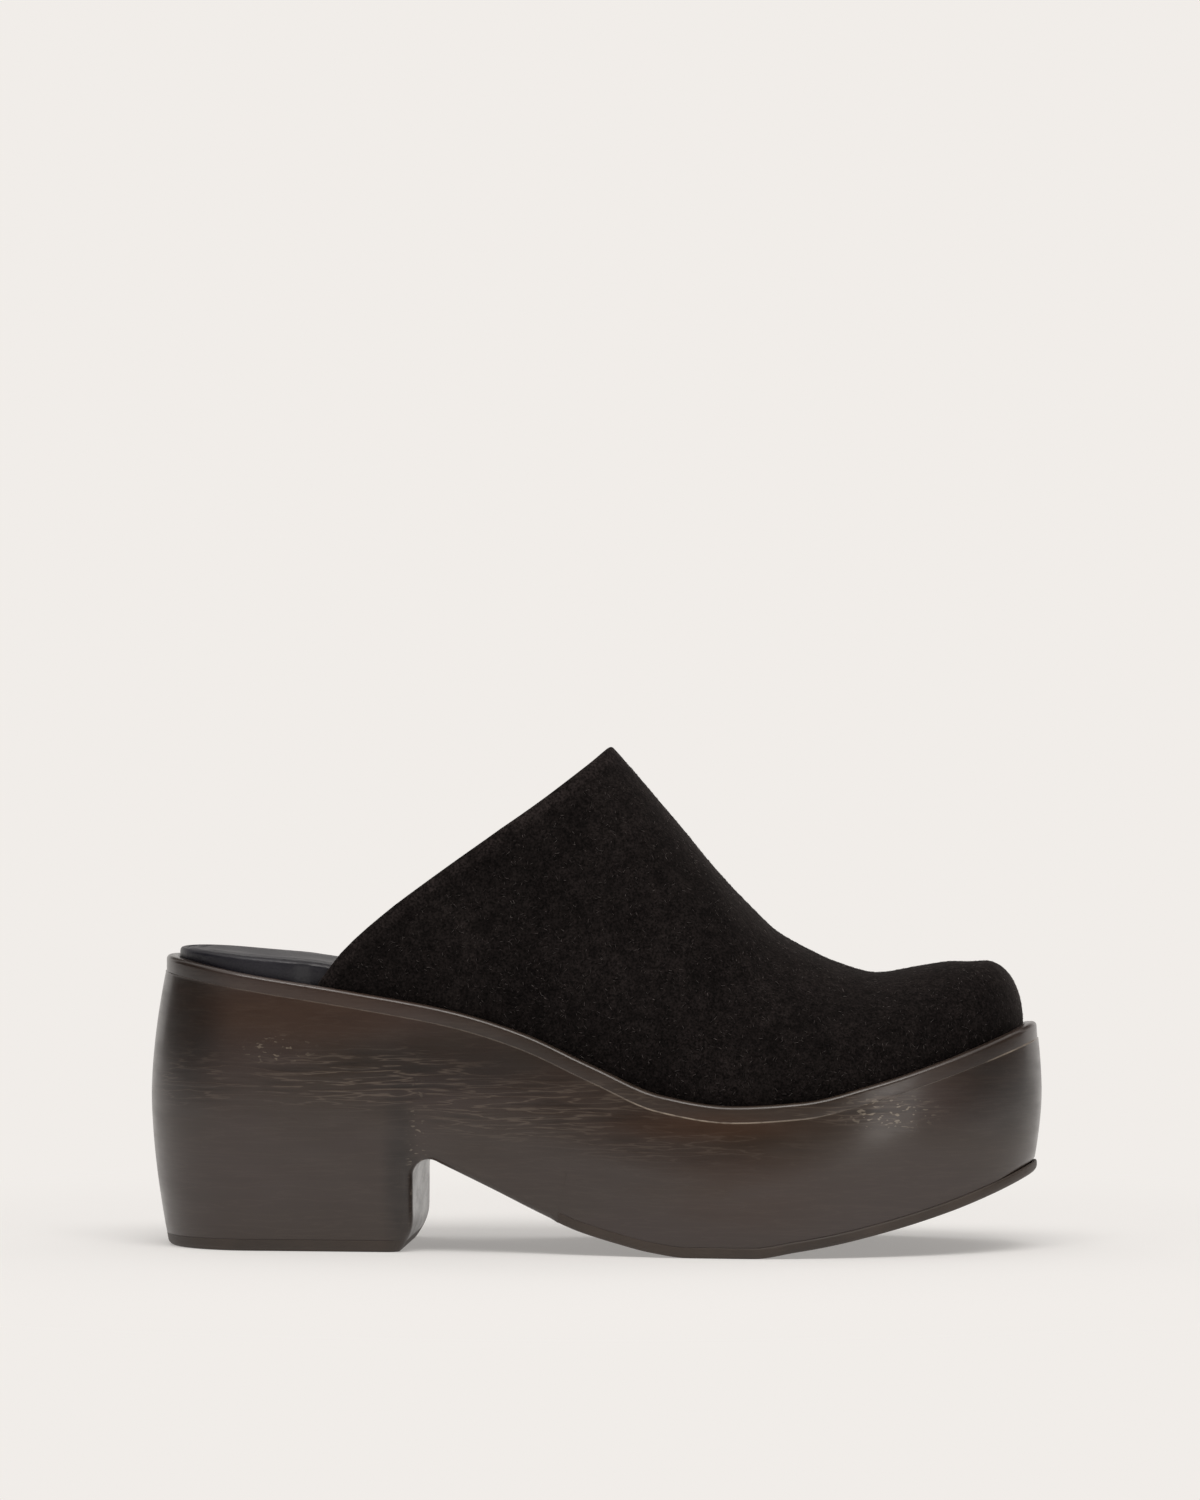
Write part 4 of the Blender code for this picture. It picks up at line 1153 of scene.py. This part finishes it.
def heel_lift_mesh(sizes):
    """Fine rubber piece under the heel, grooved underneath."""
    along = LIFT_STEPS + ARC_STEPS
    ring = Ring(along)
    back_sides, back_turns = end_turns(BACK_CORNER, 0.0)
    body = Mesh()
    loops = []
    levels = [(LIFT_ROUND * (1 - math.cos(a)), LIFT_ROUND * (1 - math.sin(a)))
              for a in np.linspace(math.pi / 2, 0, ARC_STEPS + 1)]
    levels += [(0.0, LIFT_THICKNESS)]
    for inset, z in levels:
        first = distance_at(BACK_CORNER)
        turns = turn_at(np.linspace(first, breast_front(z) - BREAST_CORNER, LIFT_STEPS + 1))
        runs = {}
        for side in (LATERAL, MEDIAL):
            sides = np.full(len(turns), side)
            x, y = outline(sides, turns, wall_inset(sides, turns, z) + inset)
            corner = np.linspace(0, math.pi / 2, ARC_STEPS + 1)[1:]
            corner_y = y[-1] - side * BREAST_CORNER
            x = np.concatenate([x, x[-1] + BREAST_CORNER * np.sin(corner)])
            y = np.concatenate([y, corner_y + side * BREAST_CORNER * np.cos(corner)])
            runs[side] = stack(x, y, z)
        back = stack(*outline(back_sides, back_turns,
                              wall_inset(back_sides, back_turns, z) + inset), z)
        share = np.linspace(0, 1, ACROSS + 1)[:, None]
        breast = runs[LATERAL][-1] * (1 - share) + runs[MEDIAL][-1] * share
        loops.append(body.add(ring.join(runs[LATERAL], breast, runs[MEDIAL], back)))
    for low, high in zip(loops, loops[1:]):
        body.bridge(low, high)
    across = ease(ring.inside()[1] / 0.16)
    along_share = ease(ring.inside()[0] / 0.14)
    for loop, up in ((loops[0], False), (loops[-1], True)):
        grid = ring.grid(body.where()[loop], fade(along, along), np.zeros(along + 1))
        if not up:
            groove = tread_groove(grid[..., 0], grid[..., 1], sizes) * across * along_share
            grid[..., 2] += sizes.tread_depth * groove
        body.cap(ring, loop, grid, up)
    return body


def insole_inset(turns):
    """Inset of the insole's side: at the rim in the heel, inside the upper further on."""
    distance = distance_at(turns)
    neck = ease((distance - COLLAR_START + INSOLE_NECK) / (INSOLE_NECK - WALL))
    return rim_inset(turns) + RIM_WIDTH + GAP + (WALL + BED_GAP) * neck


def insole_top(x):
    """Height of the insole's top at a distance."""
    return rim_line(x) + INSOLE_RISE * smooth(FOOTBED, "rise", x / LENGTH)


def insole_mesh():
    """Padded footbed with a beaded edge and a pressed groove inside it."""
    along = INSOLE_STEPS
    ring = Ring(along)
    side_turns = np.linspace(BACK_CORNER, TOE_CORNER, along + 1)
    sides, turns = ring.turns(side_turns, BACK_CORNER, TOE_CORNER)
    side_inset = insole_inset(turns)
    body = Mesh()
    x, y = outline(sides, turns, side_inset)
    bottom = stack(x, y, bed_line(x))
    loops = [body.add(bottom)]
    height = insole_top(x) + PAD_EDGE[0].rise - bed_line(x)
    for share in (0.25, 0.5, 0.75):
        swell = 0.0002 * math.sin(math.pi * share)
        x, y = outline(sides, turns, side_inset + 0.0002 - swell)
        loops.append(body.add(stack(x, y, bed_line(x) + share * height)))
    for pad in PAD_EDGE:
        x, y = outline(sides, turns, side_inset + pad.inset)
        top = stack(x, y, insole_top(x) + pad.rise)
        loops.append(body.add(top))
    for low, high in zip(loops, loops[1:]):
        body.bridge(low, high)
    fades = fade(along, along), fade(along, along)[::-1]
    under = ring.grid(bottom, *fades)
    under[..., 2] = bed_line(under[..., 0])
    body.cap(ring, loops[0], under, False)
    pad = ring.grid(top, *fades)
    middle = ease(ring.inside()[1] / 0.35) * ease(ring.inside()[0] / 0.10)
    cup = np.exp(-((pad[..., 0] - CUP_MIDDLE) / CUP_REACH) ** 2)
    cup = CUP_DEPTH * ease(ring.inside()[1]) * cup
    pad[..., 2] = insole_top(pad[..., 0]) + PAD_EDGE[-1].rise + PAD_CROWN * middle - cup
    body.cap(ring, loops[-1], pad, True)
    return body


def vamp(column, distance):
    """A column of the upper's table at a distance."""
    return smooth(VAMP, column, distance / LENGTH)


def ridge_rise(distance):
    """Height of the upper's ridge over the rim line, rounded down to the rim at the toe."""
    left = np.clip(1 - (LENGTH - distance) / TOE_FRONT, 0, 1)
    front = (1 - left ** TOE_FRONT_FULLNESS) ** (1 / TOE_FRONT_FULLNESS)
    return INSTEP_RISE * vamp("crown", distance) * front


def upper_base(side, distance):
    """Points where the upper meets the rim's level."""
    turns = turn_at(distance)
    inset = rim_inset(turns) + RIM_WIDTH + GAP
    x, y = outline(np.full(turns.shape, side), turns, inset)
    return x, y, rim_line(x)


def collar_height(distance):
    """Height of the collar's edge from the side."""
    foot = rim_line(COLLAR_START)
    peak = rim_line(COLLAR_PEAK) + ridge_rise(COLLAR_PEAK)
    run = (distance - COLLAR_START) / (COLLAR_PEAK - COLLAR_START)
    return foot + (peak - foot) * smooth(COLLAR, "rise", run)


def upper_surface(distance, around, side):
    """Outer face: around is the angle up the section, 0 at the rim, a right angle on top."""
    x, y, z = upper_base(side, distance)
    other_x, _, _ = upper_base(-side, distance)
    station = distance / LENGTH
    ridge_x = (x + other_x) / 2
    ridge_y = BALL_WIDTH * (smooth(PLAN, "swing", station) + vamp("ridge", distance))
    power = 2 / vamp("fullness", distance)
    out, up = np.cos(around) ** power, np.sin(around) ** power
    rise = ridge_rise(distance) * up
    swell = np.sin(math.pi * np.clip(rise / BULGE_HEIGHT, 0, 1)) * np.cos(around)
    swell *= SIDE_BULGE * vamp("bulge", distance)
    return stack(ridge_x + (x - ridge_x) * out, ridge_y + (y - ridge_y) * out + side * swell,
                 z + rise)


def collar_angle(distance, side):
    """Angle up the section at which the collar's edge cuts it."""
    base = upper_base(side, distance)[2]
    share = np.clip((collar_height(distance) - base) / ridge_rise(distance), 0, 1)
    return np.arcsin(share ** (vamp("fullness", distance) / 2))


def collar_run(around, side):
    """Share of the collar's run at which its edge cuts the section at an angle."""
    run = np.linspace(0, 1, DENSE)
    angle = collar_angle(COLLAR_START + (COLLAR_PEAK - COLLAR_START) * run, side)
    return np.interp(around, np.maximum.accumulate(angle), run)


def side_skin(share, around, side):
    """Outer face of one side; share runs from 0 at the collar to 1 at the toe."""
    reach = share * (2 - share)
    slant = ease(share / COLLAR_FADE)
    foot = COLLAR_START + (LENGTH - COLLAR_START) * reach
    peak = COLLAR_PEAK + (LENGTH - COLLAR_PEAK) * reach
    run = (1 - slant) * collar_run(around, side) + slant * around / (math.pi / 2)
    return upper_surface(foot + (peak - foot) * run, around, side)


AROUND = np.linspace(0, math.pi / 2, UPPER_HALF + 1)[None]


def skin(share):
    """Outer face over both sides: share has a row for each line and a column for each point."""
    half = UPPER_HALF
    lateral = side_skin(share[:, :half + 1], AROUND, LATERAL)
    medial = side_skin(share[:, :half - 1:-1], AROUND, MEDIAL)
    ridge = (lateral[:, -1:] + medial[:, -1:]) / 2
    return np.concatenate([lateral[:, :-1], ridge, medial[:, -2::-1]], axis=1)


def unit(vectors):
    """Vectors of length 1."""
    return vectors / np.maximum(np.linalg.norm(vectors, axis=-1, keepdims=True), 1e-12)


def outward(points):
    """Normals of a grid that runs from the collar to the toe and from side to side."""
    along = np.gradient(points, axis=0)
    across = np.gradient(points, axis=1)
    return unit(np.cross(along, across))


class CollarEdge:
    """Edge line of the collar, and the directions out of the upper along its face."""

    def __init__(self):
        columns = 2 * UPPER_HALF + 1
        step = 0.002
        first, second = skin(np.zeros((1, columns)))[0], skin(np.full((1, columns), step))[0]
        line = unit(np.gradient(first, axis=0))
        back = first - second
        back -= np.sum(back * line, axis=1, keepdims=True) * line
        self.speed = np.linalg.norm(back, axis=1) / step
        self.out = unit(back)
        run = np.linalg.norm(np.diff(first, axis=0), axis=1)
        self.run = np.concatenate([[0.0], np.cumsum(run)])

    def shares(self, distances, rows):
        """Shares for lines at distances from the edge, then for rows more to the toe."""
        near = np.array(distances)[:, None] / self.speed[None]
        further = np.linspace(0, 1, rows + 1)[1:, None]
        return np.concatenate([near, near[-1:] + (1 - near[-1:]) * further])


def collar_waves(edge, away, sizes):
    """Soft waves of the suede along the collar, dying out into the vamp."""
    first, second = (np.sin(2 * math.pi * edge.run / pitch) for pitch in WAVE_PITCHES)
    wave = first + WAVE_SECOND * second
    wave *= np.sin(math.pi * edge.run / edge.run[-1])
    return sizes.ripple * np.exp(-(away / WAVE_REACH) ** 2) * wave[None]


def creased(face):
    """Height of the creases over the upper's outer face, none at the rim."""
    across = np.linspace(0, 2, face.shape[1])[None]
    height = np.zeros(face.shape[:2])
    for crease in CREASES:
        lean = math.radians(crease.lean)
        ahead = face[..., 0] - crease.station * LENGTH
        beside = (across - crease.around) * GIRTH
        along = beside * math.cos(lean) + ahead * math.sin(lean)
        off = ahead * math.cos(lean) - beside * math.sin(lean)
        height += crease.height * np.exp(-(off / crease.width) ** 2 - (along / crease.reach) ** 2)
    return height * ease(np.minimum(across, 2 - across) / 0.20)


def shell_mesh(edge, start, steps, depths, sizes):
    """Closed shell between two depths under the outer face, rounded at its collar end."""
    outer_edge, inner_edge = depths(np.array([start]))
    radius = float(inner_edge[0] - outer_edge[0]) / 2
    distances = start + radius + np.array(steps)
    share = edge.shares(distances, UPPER_ROWS)
    face = skin(share[:-1])
    columns = face.shape[1]
    normal = outward(face)
    away = np.concatenate([np.repeat(distances[:, None], columns, axis=1),
                           share[len(distances):-1] * edge.speed[None]])
    soft = collar_waves(edge, away, sizes) + creased(face)
    bead = sizes.fold_bead * (1 - ease((away - 0.6 * sizes.fold_width) / sizes.fold_width))
    outer_depth, inner_depth = depths(away)
    outer = face - (outer_depth - soft - bead)[..., None] * normal
    inner = face - (inner_depth - soft)[..., None] * normal

    middle = (outer[0] + inner[0]) / 2
    across = outer[0] - middle
    reach = np.linalg.norm(across, axis=1, keepdims=True)
    arcs = [middle + across * math.cos(angle) + edge.out * reach * math.sin(angle)
            for angle in np.linspace(math.pi, 0, 2 * ARC_STEPS + 1)[1:-1]]
    rows = np.concatenate([inner[::-1], np.array(arcs), outer])
    sunk = rows[:, [0, -1]].copy()
    sunk[..., 2] = bed_line(sunk[..., 0])
    rows = np.concatenate([sunk[:, :1], rows, sunk[:, 1:]], axis=1)
    body = Mesh()
    index = body.add(rows)
    body.sheet(index)
    fold = np.zeros(rows.shape[:2])
    folded = 1 - ease((away - 0.8 * sizes.fold_width) / 0.001)
    fold[-len(face):, 1:-1] = FOLD_PALE * folded
    fold[len(face):-len(face)] = FOLD_PALE

    tip = skin(np.ones((1, columns)))[0, 0]
    tip_depths = [float(depth[0]) for depth in depths(np.ones(1))]
    lows = []
    for row, depth, flip in zip((index[-1], index[0]), tip_depths, (False, True)):
        x = tip[0] - depth
        top, low = body.add(np.array([[x, tip[1], tip[2]], [x, tip[1], bed_line(x)]]))
        fan = [[row[j], top, row[j + 1]] for j in range(1, len(row) - 2)]
        fan += [[row[0], low, top, row[1]], [row[-2], top, low, row[-1]]]
        body.polygons(fan, flip)
        lows.append(low)
    count = len(face)
    for ends, flip in ((index[:, 0], True), (index[:, -1], False)):
        strip = [[ends[i], ends[i + 1], ends[-2 - i], ends[-1 - i]] for i in range(count - 1)]
        strip.append([ends[k] for k in range(count - 1, len(ends) - count + 1)])
        strip.append([lows[1], ends[0], ends[-1], lows[0]])
        body.polygons(strip, flip)
    return body, np.concatenate([fold.ravel(), np.zeros(4)])


def nap_mesh(edge, sizes):
    """Loose fibres of the nap lying on the suede, each a thin closed spike."""
    chance = np.random.default_rng(NAP_SEED)
    share = edge.shares(np.array([0.0015, 0.004]), UPPER_ROWS)[:-1]
    face = skin(share)
    away = share * edge.speed[None]
    soft = collar_waves(edge, away, sizes) + creased(face)
    face = face + soft[..., None] * outward(face)
    corner = face[:-1, :-1]
    down, side = face[1:, :-1] - corner, face[:-1, 1:] - corner
    area = np.linalg.norm(np.cross(down, side), axis=-1).ravel()
    pick = chance.choice(area.size, NAP_FIBRES, p=area / area.sum())
    along, across = chance.random((2, NAP_FIBRES, 1))
    down, side = down.reshape(-1, 3)[pick], side.reshape(-1, 3)[pick]
    root = corner.reshape(-1, 3)[pick] + along * down + across * side
    up = unit(np.cross(down, side))
    x, y, z = (root / NAP_SWIRL_REACH).T
    swirl = NAP_SWIRL * np.sin(x) * np.cos(y + z)
    angle = swirl + chance.normal(0.0, NAP_SCATTER, NAP_FIBRES)
    first = unit(down)
    second = np.cross(up, first)
    lay = first * np.cos(angle)[:, None] + second * np.sin(angle)[:, None]
    beside = np.cross(up, lay)
    length = chance.uniform(*NAP_LENGTHS, (NAP_FIBRES, 1))
    bend = chance.normal(0.0, NAP_BEND, (NAP_FIBRES, 1)) * length
    pale = chance.random((NAP_FIBRES, 1)) ** 3
    thick = NAP_THICKNESS + NAP_PALE_THICKNESS * pale * chance.random((NAP_FIBRES, 1))
    middle = root + 0.5 * length * lay + 0.5 * bend * beside + NAP_LIFTS[0] * up
    end = root + length * lay + bend * beside + NAP_LIFTS[1] * up
    root = root + NAP_LIFTS[2] * up

    body = Mesh()
    rings = []
    for centre, size in ((root, thick), (middle, thick)):
        corners = [centre + size * (math.cos(a) * beside + math.sin(a) * up)
                   for a in (math.pi / 2, math.pi * 7 / 6, math.pi * 11 / 6)]
        rings.append([body.add(point) for point in corners])
    tip = body.add(end)
    low, high = rings
    body.quads(low[0], low[1], low[2])
    for a, b in ((0, 1), (1, 2), (2, 0)):
        body.quads(low[b], low[a], high[a], high[b])
        body.quads(high[b], high[a], tip)
    return body, np.tile(pale[:, 0], 7)


def finish_piece(piece, node):
    """Put a piece on the part's one body, and hide the node it stands for."""
    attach(piece, "root")
    if node:
        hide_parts(node)


class CLOG_OT_platform(bpy.types.Operator):
    """Build the wood-look platform with its rim, ledge and heel"""

    bl_idname = "clog.platform"
    bl_label = "Platform"

    def execute(self, context):
        body, near_ledge = platform_mesh()
        wood = stained_wood(context.scene.clog_colours)
        piece = body.piece("platform_wood", wood, [("ledge", near_ledge)])
        finish_piece(piece, "platform")
        return {"FINISHED"}


class CLOG_OT_treads(bpy.types.Operator):
    """Build the rubber treads under the forefoot and the heel"""

    bl_idname = "clog.treads"
    bl_label = "Rubber treads"

    def execute(self, context):
        rubber = moulded_rubber(context.scene.clog_colours)
        sizes = context.scene.clog_sizes
        for name, node, body in (("outsole_rubber", "outsole", outsole_mesh(sizes)),
                                 ("heel_lift_rubber", "heel_top_lift", heel_lift_mesh(sizes))):
            finish_piece(body.piece(name, rubber), node)
        return {"FINISHED"}


class CLOG_OT_upper(bpy.types.Operator):
    """Build the suede upper with its folded collar, and the lining inside it"""

    bl_idname = "clog.upper"
    bl_label = "Suede upper"

    def execute(self, context):
        sizes, colours = context.scene.clog_sizes, context.scene.clog_colours
        edge = CollarEdge()

        def suede_depths(away):
            thin = ease((away - sizes.lining_start) / LINING_LAP)
            return 0.0 * away, WALL + (sizes.suede_thickness - WALL) * thin

        def lining_depths(away):
            return 0.0 * away + sizes.suede_thickness + LINING_SLACK, 0.0 * away + WALL

        suede, fold = shell_mesh(edge, 0.0, SUEDE_ROWS, suede_depths, sizes)
        piece = suede.piece("upper_suede", black_suede(colours), [("fold", fold)])
        finish_piece(piece, "upper")
        lining, _ = shell_mesh(edge, sizes.lining_start + LINING_LAP, LINING_ROWS,
                               lining_depths, sizes)
        piece = lining.piece("upper_lining", smooth_leather(colours))
        finish_piece(piece, None)
        nap, pale = nap_mesh(edge, sizes)
        piece = nap.piece("upper_nap", nap_fibre(colours), [("pale", pale)])
        finish_piece(piece, None)
        return {"FINISHED"}


class CLOG_OT_insole(bpy.types.Operator):
    """Build the padded leather insole"""

    bl_idname = "clog.insole"
    bl_label = "Insole"

    def execute(self, context):
        leather = smooth_leather(context.scene.clog_colours)
        piece = insole_mesh().piece("insole_pad", leather)
        finish_piece(piece, "insole")
        return {"FINISHED"}


class CLOG_OT_stage(bpy.types.Operator):
    """Build the pale floor, the studio light and the photo's camera"""

    bl_idname = "clog.stage"
    bl_label = "Stage"

    def execute(self, context):
        scene = context.scene
        paper = tuple(scene.clog_colours.paper)
        scene.view_settings.view_transform = "Standard"
        world = bpy.data.worlds.new("studio")
        world.use_nodes = True
        sky = world.node_tree.nodes["Background"]
        sky.inputs["Color"].default_value = (*paper, 1.0)
        sky.inputs["Strength"].default_value = 1.0
        scene.world = world

        ring = [(FLOOR_RADIUS * math.cos(a), FLOOR_RADIUS * math.sin(a), 0.0)
                for a in np.linspace(0, 2 * math.pi, FLOOR_CORNERS + 1)[:-1]]
        mesh = bpy.data.meshes.new("floor")
        mesh.from_pydata(ring, [], [tuple(range(len(ring)))])
        floor = bpy.data.objects.new("floor", mesh)
        scene.collection.objects.link(floor)
        mesh.materials.append(paper_floor(paper))

        for name, place, size, power in STUDIO_LIGHTS:
            lamp = bpy.data.lights.new(name, "AREA")
            lamp.shape = "RECTANGLE"
            lamp.size, lamp.size_y = size
            lamp.energy = power
            lamp.color = paper
            box = bpy.data.objects.new(name, lamp)
            box.location = place
            toward = LIGHT_TARGET - box.location
            box.rotation_mode = "QUATERNION"
            box.rotation_quaternion = toward.to_track_quat("-Z", "Y")
            box.visible_camera = False
            scene.collection.objects.link(box)
        dark_cards(scene)
        place_camera(scene)
        return {"FINISHED"}


def paper_floor(paper):
    """Pale floor that turns into the studio's own colour far from the shoe."""
    material = bpy.data.materials.new("paper_floor")
    material.use_nodes = True
    tree = material.node_tree
    tree.nodes.remove(tree.nodes["Principled BSDF"])
    place = tree.nodes.new("ShaderNodeTexCoord")
    length = tree.nodes.new("ShaderNodeVectorMath")
    length.operation = "LENGTH"
    tree.links.new(place.outputs["Object"], length.inputs[0])
    far = tree.nodes.new("ShaderNodeMapRange")
    far.interpolation_type = "SMOOTHSTEP"
    far.inputs["From Min"].default_value = FLOOR_FADE[0]
    far.inputs["From Max"].default_value = FLOOR_FADE[1]
    far.inputs["To Min"].default_value = FLOOR_LIFT
    tree.links.new(length.outputs["Value"], far.inputs["Value"])
    near = tree.nodes.new("ShaderNodeBsdfDiffuse")
    near.inputs["Color"].default_value = (FLOOR_GREY, FLOOR_GREY, FLOOR_GREY, 1.0)
    glow = tree.nodes.new("ShaderNodeEmission")
    glow.inputs["Color"].default_value = (*paper, 1.0)
    both = tree.nodes.new("ShaderNodeMixShader")
    tree.links.new(far.outputs["Result"], both.inputs["Fac"])
    tree.links.new(near.outputs["BSDF"], both.inputs[1])
    tree.links.new(glow.outputs["Emission"], both.inputs[2])
    tree.links.new(both.outputs["Shader"], tree.nodes["Material Output"].inputs["Surface"])
    return material


def dark_cards(scene):
    """Dark cards that the glossy wall mirrors instead of the bright studio."""
    points, faces = [], []
    for (x0, y0, z0), (x1, y1, z1) in DARK_CARDS:
        first = len(points)
        points += [(x0, y0, z0), (x1, y1, z0), (x1, y1, z1), (x0, y0, z1)]
        faces.append(tuple(range(first, first + 4)))
    mesh = bpy.data.meshes.new("dark_cards")
    mesh.from_pydata(points, [], faces)
    cards = bpy.data.objects.new("dark_cards", mesh)
    finish = Finish("dark_card", 0.90, 0.0)
    mesh.materials.append(finish.done(Base_Color=(*CARD_COLOUR, 1.0)))
    cards.visible_camera = False
    scene.collection.objects.link(cards)


def place_camera(scene):
    """Camera at the photo's angle, distance and framing."""
    lens = bpy.data.cameras.new("photo_camera")
    lens.lens = CAMERA_LENS
    lens.sensor_width = CAMERA_SENSOR
    lens.sensor_fit = "AUTO"
    lens.clip_end = 50.0
    camera = bpy.data.objects.new("photo_camera", lens)
    level = math.cos(CAMERA_ELEVATION)
    back = Vector((math.sin(CAMERA_AZIMUTH) * level, -math.cos(CAMERA_AZIMUTH) * level,
                   math.sin(CAMERA_ELEVATION)))
    camera.location = Vector(CAMERA_TARGET) + CAMERA_DISTANCE * back
    camera.rotation_mode = "QUATERNION"
    camera.rotation_quaternion = (-back).to_track_quat("-Z", "Y")
    scene.collection.objects.link(camera)
    scene.camera = camera


class CLOG_PT_panel(bpy.types.Panel):
    """Lists the clog's pieces, sizes and colours"""

    bl_idname = "CLOG_PT_panel"
    bl_label = "Clog"
    bl_space_type = "VIEW_3D"
    bl_region_type = "UI"
    bl_category = "Clog"

    def draw(self, context):
        column = self.layout.column()
        for operator in OPERATORS:
            column.operator(operator.bl_idname)
        for group in (context.scene.clog_sizes, context.scene.clog_colours):
            for name in group.bl_rna.properties.keys():
                if name not in ("rna_type", "name"):
                    column.prop(group, name)


OPERATORS = (
    CLOG_OT_stage,
    CLOG_OT_platform,
    CLOG_OT_treads,
    CLOG_OT_upper,
    CLOG_OT_insole,
)
CLASSES = (ClogSizes, ClogColours, *OPERATORS, CLOG_PT_panel)


def register():
    for item in CLASSES:
        bpy.utils.register_class(item)
    bpy.types.Scene.clog_sizes = bpy.props.PointerProperty(type=ClogSizes)
    bpy.types.Scene.clog_colours = bpy.props.PointerProperty(type=ClogColours)


def unregister():
    del bpy.types.Scene.clog_colours
    del bpy.types.Scene.clog_sizes
    for item in reversed(CLASSES):
        bpy.utils.unregister_class(item)


def main():
    """Build every piece in order."""
    register()
    bpy.ops.clog.stage()
    bpy.ops.clog.platform()
    bpy.ops.clog.treads()
    bpy.ops.clog.upper()
    bpy.ops.clog.insole()


if __name__ == "__main__":
    main()
